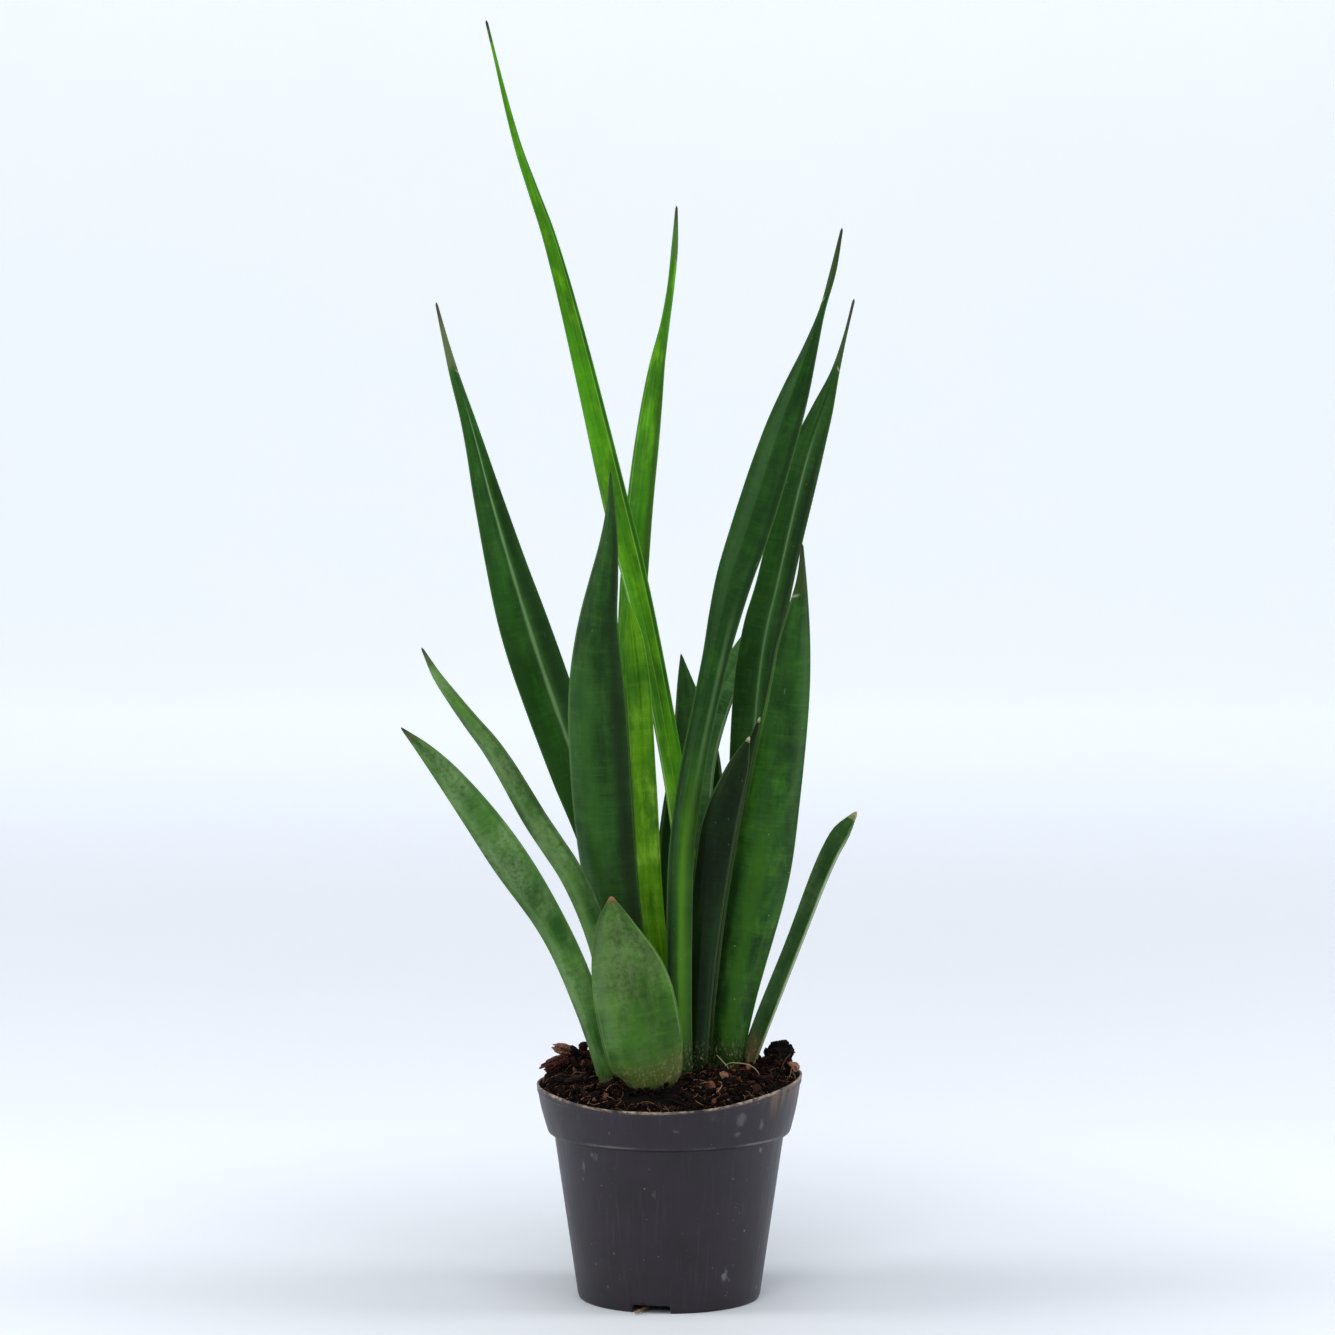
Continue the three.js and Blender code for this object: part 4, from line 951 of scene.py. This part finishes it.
def resting_strands(draw, count, reach, lengths, lift, bow, stations):
    """Paths over the mound: a bent line that rises from it as sin(pi t) and ends in it."""
    middle = scatter(draw, count, reach)[:, :2] - AXIS
    heading = draw.uniform(-math.pi, math.pi, count)
    ahead = np.stack([np.cos(heading), np.sin(heading)], -1)
    side = np.stack([-ahead[:, 1], ahead[:, 0]], -1)
    t = np.linspace(0, 1, stations)[None, :, None]
    length = draw.uniform(*lengths, count)[:, None, None]
    bend = draw.uniform(-bow, bow, count)[:, None, None] * length
    wobble = draw.uniform(-0.12, 0.12, count)[:, None, None] * length
    flat = (middle[:, None] + ahead[:, None] * (t - 0.5) * length
            + side[:, None] * (bend * 4 * t * (1 - t) + wobble * np.sin(2 * math.pi * t)))
    rise = draw.uniform(*lift, count)[:, None] * np.sin(math.pi * t[..., 0])
    reach_now = np.linalg.norm(flat, axis=2)
    flat = flat * np.minimum(1, (SOIL_RADIUS - 0.6 * MM) / np.maximum(reach_now, MM))[..., None]
    height = mound(flat[..., 0], flat[..., 1]) + rise - 0.1 * MM
    return np.concatenate([flat + AXIS, height[..., None]], axis=2)


def placed_strand(points, stations=30):
    """A smooth path through points measured from the pot's axis, in millimetres."""
    points = np.array(points, float) * MM + [*AXIS, 0]
    knots = lengths_along(points)
    return along(knots, points, np.linspace(0, knots[-1], stations))


def mix_finish(name, stops, rough=0.85, grain=900.0, depth=0.35, stretch=(1, 1, 1), streaks=0.4):
    """Bark and coir: each crumb's own tone picks its colour; fine grain darkens and lifts it."""
    f = Finish(name, Specular_IOR_Level=0.1)
    tone = f.split(f.attribute("tone"))[0]
    f.colour = tint(stops[0][1])
    for (start, _), (end, code) in zip(stops, stops[1:]):
        f.coat(code, f.step(tone, start, end))
    fibre = f.noise(f.stretch(f.place(), *stretch), grain, 5, 0.7)
    f.coat("120b08", f.step(fibre, 0.52, 0.34), streaks)
    f.coat("7d5a45", f.step(fibre, 0.58, 0.76), 0.35 * streaks)
    return f.use(f.step(fibre, 0.3, 0.7, rough, rough + 0.1), (fibre, 0.8, depth))


def bark_lump(number, material, tone, ragged, layers=6, columns=72, breaks=17):
    """A chunk of layered bark that fills the box of the CAD one: each layer is a slab whose
    outline has its own straight-sided chips, and is smaller towards the faces as
    (1 - (0.93 t)^2)^0.3, with t from -1 to 1 through the chunk."""
    node = f"bark_chip_{number}"
    low, high = (np.array(corner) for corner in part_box(node))
    cloud = np.array([v.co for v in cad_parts[node].data.vertices])
    axes = np.linalg.eigh(np.cov((cloud - cloud.mean(0)).T))[1][:, ::-1]
    half = np.abs((cloud - cloud.mean(0)) @ axes).max(0)
    draw = np.random.default_rng(200 + number)
    turn = np.linspace(0, 2 * math.pi, columns, endpoint=False)
    rings = []
    for layer in range(layers):
        corners = np.sort(draw.uniform(0, 2 * math.pi, breaks))
        depths = draw.uniform(1 - ragged, 1, breaks)
        outline = np.interp(turn, corners, depths, period=2 * math.pi)
        outline = outline * (1 + draw.uniform(-0.03, 0.03, columns))
        shift = draw.uniform(-0.06, 0.06, 2)
        for t, pull in ((0.06, 0.94), (0.5, 1.0), (0.94, 0.93)):
            t = 2 * (layer + t) / layers - 1
            reach = outline * pull * (1 - (0.93 * t)**2)**0.3
            rings.append(np.stack([reach * np.cos(turn) + shift[0],
                                   reach * np.sin(turn) + shift[1],
                                   t + 0.05 * np.sin(3 * turn + layer)], -1))
    grid = np.array(rings) * half @ axes.T * np.sign(np.linalg.det(axes))
    ends = grid[[0, -1]].mean(1)
    points, faces = closed_tube(grid, *ends)
    small, large = points.min(0), points.max(0)
    points = low + (points - small) / (large - small) * (high - low)
    tones = np.full((len(points), 3), (tone, 0.1 * number, 0))
    tones[:, 0] += 0.1 * draw.uniform(-1, 1, len(points))
    piece(f"bark_lump_{number}", points, faces, material, "bark", [node], smooth=False,
          tone=tones)


ROOT_RINGS, ROOT_SIDES = 60, 14


def drain_root(material):
    """The root that has grown out: the CAD root's rings give its line and thickness, with
    knots every few millimetres."""
    rings, start, end = cad_rings("drain_root", 6, from_top=True)
    line = rings.mean(1)
    radius = np.linalg.norm(rings - line[:, None], axis=2).mean(1)
    knots = lengths_along(line)
    places = np.linspace(0, knots[-1], ROOT_RINGS)
    fine = along(knots, np.column_stack([line, radius]), places)
    path, radius = fine[:, :3], fine[:, 3] * (0.82 + 0.12 * np.sin(places / (0.7 * MM)))
    grid = round_rings(path, radius, ROOT_SIDES, (0.3, 0.1, 0.95))
    points, faces = closed_tube(grid, start, end)
    share = np.append(np.repeat(np.linspace(0, 1, ROOT_RINGS), ROOT_SIDES), [0, 1])
    tone = np.column_stack([0.85 * share**4, share, share])
    piece("drain_root_skin", points, faces, material, "root", ["drain_root"], tone=tone)


def strew(draw, name, skin, slot, count, reach, clear, sizes, sunk, lift, tones=None, **shape):
    """Crumbs strewn over the mound, each raised by sunk times its size, and by lift."""
    centres = scatter(draw, count, reach, clear)
    sizes = draw.uniform(*sizes, count) * MM
    centres[:, 2] += sunk * sizes + lift
    if tones is not None:
        tones = draw.uniform(*tones, count)
    grit(name, skin, slot, centres, sizes, draw, tones=tones, **shape)


def heap(draw, name, skin, centre, spread, rise, count=70, edge=55):
    """Bark piled round a place in millimetres from the pot's axis and kept inside edge: each
    piece is lifted by up to rise times exp(-(d / spread)^2)."""
    piled = draw.normal(0, spread, (count, 2)) + centre
    away = np.linalg.norm(piled - centre, axis=1)
    piled *= np.minimum(1, edge / np.linalg.norm(piled, axis=1))[:, None]
    piled = piled * MM
    height = mound(piled[:, 0], piled[:, 1])
    height = height + draw.uniform(0, rise, count) * np.exp(-(away / spread)**2) * MM
    sizes = draw.uniform(2.5, 6.5, count) * MM
    grit(name, skin, "bark", np.column_stack([piled + AXIS, height]), sizes, draw, grid=(5, 8),
         flat=0.45, tones=draw.uniform(0.0, 0.7, count))


def foot_bank(draw, skin, count=60):
    """The crumbs banked against the foot of the short front leaf."""
    banked = draw.normal(0, 1, (count, 2)) * (10, 2.2) * MM + np.array([-8, -38.5]) * MM
    height = mound(banked[:, 0], banked[:, 1]) + draw.uniform(0, 1.6, count) * MM
    sizes = draw.uniform(1.5, 3.6, count) * MM
    grit("foot_bank", skin, "soil", np.column_stack([banked + AXIS, height]), sizes, draw,
         tones=draw.uniform(0.0, 0.8, count))


# Stops of tone and tint, from dark to pale.
SOIL_TONES = [(0.0, "040202"), (0.4, "0b0605"), (0.78, "190d0a"), (0.95, "3d2018"),
              (1.0, "7a5440")]
BARK_TONES = [(0.0, "070404"), (0.3, "140b0a"), (0.65, "301a15"), (0.9, "6a3c30"),
              (1.05, "a5806a"), (1.3, "d0ae92")]
COIR_TONES = [(0.0, "1e110c"), (0.4, "4e2c1e"), (0.8, "8a5c40"), (1.0, "b8936e")]
ROOT_TONES = [(0.0, "281b13"), (0.35, "5c4634"), (0.7, "8f7457"), (1.0, "b9a27e")]

# Heaps of bark: centre and spread in millimetres, and height.
BARK_HEAPS = [((-43, 16), 6.0, 6.5), ((-51, 5), 3.5, 3.5), ((50, 8), 4.5, 4.0)]

# How red and pale each of the nine chips is, and how ragged.
CHIPS = [(0.97, 0.45), (0.76, 0.5), (0.8, 0.5), (-0.1, 0.5), (1.02, 0.4), (1.0, 0.5),
         (0.45, 0.4), (0.5, 0.4), (0.55, 0.5)]

# Roots and long fibres that stand out: tone, and points in millimetres from the pot's axis.
LONG_STRANDS = [
    (1.0, [[23.5, -14, 104], [24.5, -13, 106.2], [27, -13, 107.9], [31.3, -13, 108],
           [37.1, -13, 106.6], [40, -13, 103.7], [41, -13.5, 99.5]]),
    (0.95, [[21.3, -10, 111.4], [22.7, -11, 110], [24.5, -12, 108.2], [26.3, -12.6, 106.1],
            [26.6, -13, 103]]),
    (0.5, [[-43.5, -25, 96], [-42.6, -25, 98], [-36.5, -25, 99.4], [-30.1, -24, 101.4],
           [-24.3, -21.5, 103]]),
    (0.4, [[-37, -31, 95.5], [-36.3, -30, 96.7], [-35.3, -28, 98.6], [-34.4, -26, 100.2]]),
    (0.45, [[-56, -8, 98], [-54.8, -6, 99.4], [-51.2, -5, 100.9], [-47.6, -4, 101.6],
            [-46, -3, 100]]),
    (0.5, [[-44, -8, 101.5], [-42.5, -8, 103], [-38.9, -8, 102.8], [-36.1, -8, 102.3]]),
    (0.3, [[-35.3, 11, 109.7], [-35, 9, 106], [-35.3, 8, 101.6]]),
    (0.7, [[-17.8, -46, 93.6], [-16, -45, 95.4], [-12.8, -44, 96], [-11, -43, 95]]),
    (0.35, [[50, -4, 99], [50.3, -3, 101.8], [51.4, -3, 105.8], [53.5, -2, 109.1],
            [55, -1, 110.2]]),
    (0.6, [[53, -12, 97.5], [53.3, -10, 99.3], [54.6, -9, 102.5], [55.1, -8, 105.5]]),
    (0.5, [[48, -9, 97.5], [49.4, -8, 99], [53, -8, 101.2], [56.2, -7, 100.6]]),
    (0.45, [[44.5, -12, 97], [48, -11, 98.6], [52, -10, 98.6], [55, -10, 97.8]]),
    (0.5, [[54.5, -3, 103], [56, -4, 102], [56.8, -5, 100.4], [56.6, -8, 98.4]]),
    (0.3, [[34.9, -18, 101], [35.6, -20, 99.8], [37, -21, 99], [36, -24, 98]]),
]

# The soil body has no tones, so it takes the darkest stop. That near black is the mix's own dark
# colour plus painted shade in the gaps between the crumbs.
soil_and_gap_shade_skin = mix_finish("bark_mix", SOIL_TONES, grain=700, depth=0.6)
crumb_skin = mix_finish("bark_crumbs", SOIL_TONES)
bark_skin = mix_finish("bark", BARK_TONES, rough=0.75, grain=420, depth=0.4,
                       stretch=(1, 2.2, 2.6), streaks=0.6)
coir_skin = mix_finish("coir", COIR_TONES, rough=0.75, grain=700, streaks=0.3)
root_skin = mix_finish("root_fibre", ROOT_TONES, rough=0.7, grain=700, streaks=0.3)

soil_body(soil_and_gap_shade_skin)
draw = np.random.default_rng(11)
reach = SOIL_RADIUS - 2.5 * MM
strew(draw, "crumbs_small", crumb_skin, "soil", 3500, SOIL_RADIUS - 1.3 * MM, 0.0, (0.8, 2.6),
      0.2, 0.2 * MM)
strew(draw, "crumbs_middling", crumb_skin, "soil", 760, reach, 0.5 * MM, (2.4, 6.0),
      0.16, 0.3 * MM, flat=0.4)
strew(draw, "bark_pieces", bark_skin, "bark", 60, reach - 2.5 * MM, 3 * MM, (5, 9.5),
      0.14, 0.0, (0.05, 0.6), grid=(7, 10), flat=0.35)
for number, (centre, spread, rise) in enumerate(BARK_HEAPS, 1):
    heap(draw, f"heap_{number}", bark_skin, centre, spread, rise)
foot_bank(draw, crumb_skin)
for number, (tone, ragged) in enumerate(CHIPS, 1):
    bark_lump(number, bark_skin, tone, ragged)
thin = resting_strands(draw, 820, reach, (4 * MM, 14 * MM), (0.2 * MM, 1.8 * MM), 0.35, 10)
strands("coir_thin", coir_skin, thin, draw.uniform(0.05, 0.11, len(thin)) * MM, draw, 4)
thick = resting_strands(draw, 60, reach, (8 * MM, 22 * MM), (0.5 * MM, 2.6 * MM), 0.4, 16)
strands("coir_thick", coir_skin, thick, draw.uniform(0.1, 0.2, len(thick)) * MM, draw, 6)
long = np.stack([placed_strand(points) for _, points in LONG_STRANDS])
strands("long_roots", root_skin, long, draw.uniform(0.15, 0.23, len(long)) * MM, draw, 8,
        tones=[tone for tone, _ in LONG_STRANDS])
drain_root(root_skin)
for node in ("rhizome_left", "rhizome_right"):
    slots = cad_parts[node].data.materials
    slots.clear()
    slots.append(root_skin)


# ---- Camera, light and floor --------------------------------------------------------------

DISTANCE, EYE_HEIGHT, LOOKING_DOWN = 2.0, 0.42, 3.86   # metres, metres, degrees

camera = bpy.data.objects.new("camera", bpy.data.cameras.new("camera"))
camera.location = (AXIS[0] - 0.0007, AXIS[1] - DISTANCE, EYE_HEIGHT)
camera.rotation_euler = (math.radians(90 - LOOKING_DOWN), 0, 0)
camera.data.lens = 120.4
camera.data.sensor_width = 36
camera.data.clip_end = 50
bpy.context.scene.collection.objects.link(camera)
bpy.context.scene.camera = camera

# Soft rectangular lamps: place and aim from the pot's axis, size, power and colour.
LAMPS = {
    "left_softbox": ((-1.6, -0.2, 0.9), (0, 0, 0.25), (0.7, 1.5), 15, (1.0, 0.99, 0.98)),
    "right_softbox": ((1.6, -0.1, 0.8), (0, 0, 0.25), (0.6, 1.5), 13, (0.98, 0.98, 1.0)),
    "top_softbox": ((0.1, -0.6, 2.0), (0, 0, 0.2), (1.2, 1.2), 14, (1.0, 1.0, 1.0)),
    "front_fill": ((-0.5, -2.4, 1.5), (0, 0, 0.25), (1.2, 1.2), 16, (1.0, 0.99, 0.98)),
}
for name, (place, aim, size, power, colour) in LAMPS.items():
    light = bpy.data.lights.new(name, "AREA")
    light.shape = "RECTANGLE"
    light.size, light.size_y = size
    light.energy = power
    light.color = colour
    lamp = bpy.data.objects.new(name, light)
    lamp.location = Vector((*AXIS, 0)) + Vector(place)
    lamp.rotation_euler = (Vector(aim) - Vector(place)).to_track_quat("-Z", "Y").to_euler()
    bpy.context.scene.collection.objects.link(lamp)

AIR_LIGHT = 0.28              # strength of the even light from all sides

world = bpy.data.worlds.new("studio")
world.use_nodes = True
world.node_tree.nodes["Background"].inputs[0].default_value = tint("eef2f8")
world.node_tree.nodes["Background"].inputs[1].default_value = AIR_LIGHT
bpy.context.scene.world = world
bpy.context.scene.view_settings.view_transform = "Standard"


def stage_floor():
    """A pale floor that curves up into a backdrop: a quarter circle between two planes. It
    glows softly away from the pot and not near it, which paints a soft shadow round the pot."""
    side, front, back, top, radius = 5.0, -4.0, 3.4, 5.0, 1.2
    turn = np.linspace(0, math.pi / 2, 24)
    curve = np.column_stack([back + radius * np.sin(turn), radius * (1 - np.cos(turn))])
    profile = np.vstack([[front, 0], curve, [back + radius, top]])
    columns = len(profile)
    grid = np.empty((2, columns, 3))
    grid[:, :, 0] = np.array([-side, side])[:, None]
    grid[:, :, 1:] = profile - [0, 0.02 * MM]
    here = np.arange(columns - 1)
    faces = np.stack([here, here + columns, here + columns + 1, here + 1], -1)
    floor = mesh_object("floor", grid.reshape(-1, 3), faces.tolist())
    f = Finish("pale_floor", Specular_IOR_Level=0.1, Emission_Color=tint("e9eff8"))
    tone = f.noise(f.place(), 3.0, 3)
    away = f.node("ShaderNodeVectorMath", {0: f.place(), 1: (*AXIS, 0)}, "Value",
                  operation="DISTANCE")
    # No glow near the pot: a painted soft shadow round its foot.
    glow = f.plus(f.step(away, 0.06, 0.5, 0.0, 0.27), f.step(away, 0.5, 3.0, 0.0, 0.34))
    f.put(f.shader.inputs["Emission Strength"], glow)
    f.ground("dfe4ea", "e6eaf0", tone)
    floor.data.materials.append(f.use(0.8, (tone, 0.02, 0.5)))


stage_floor()
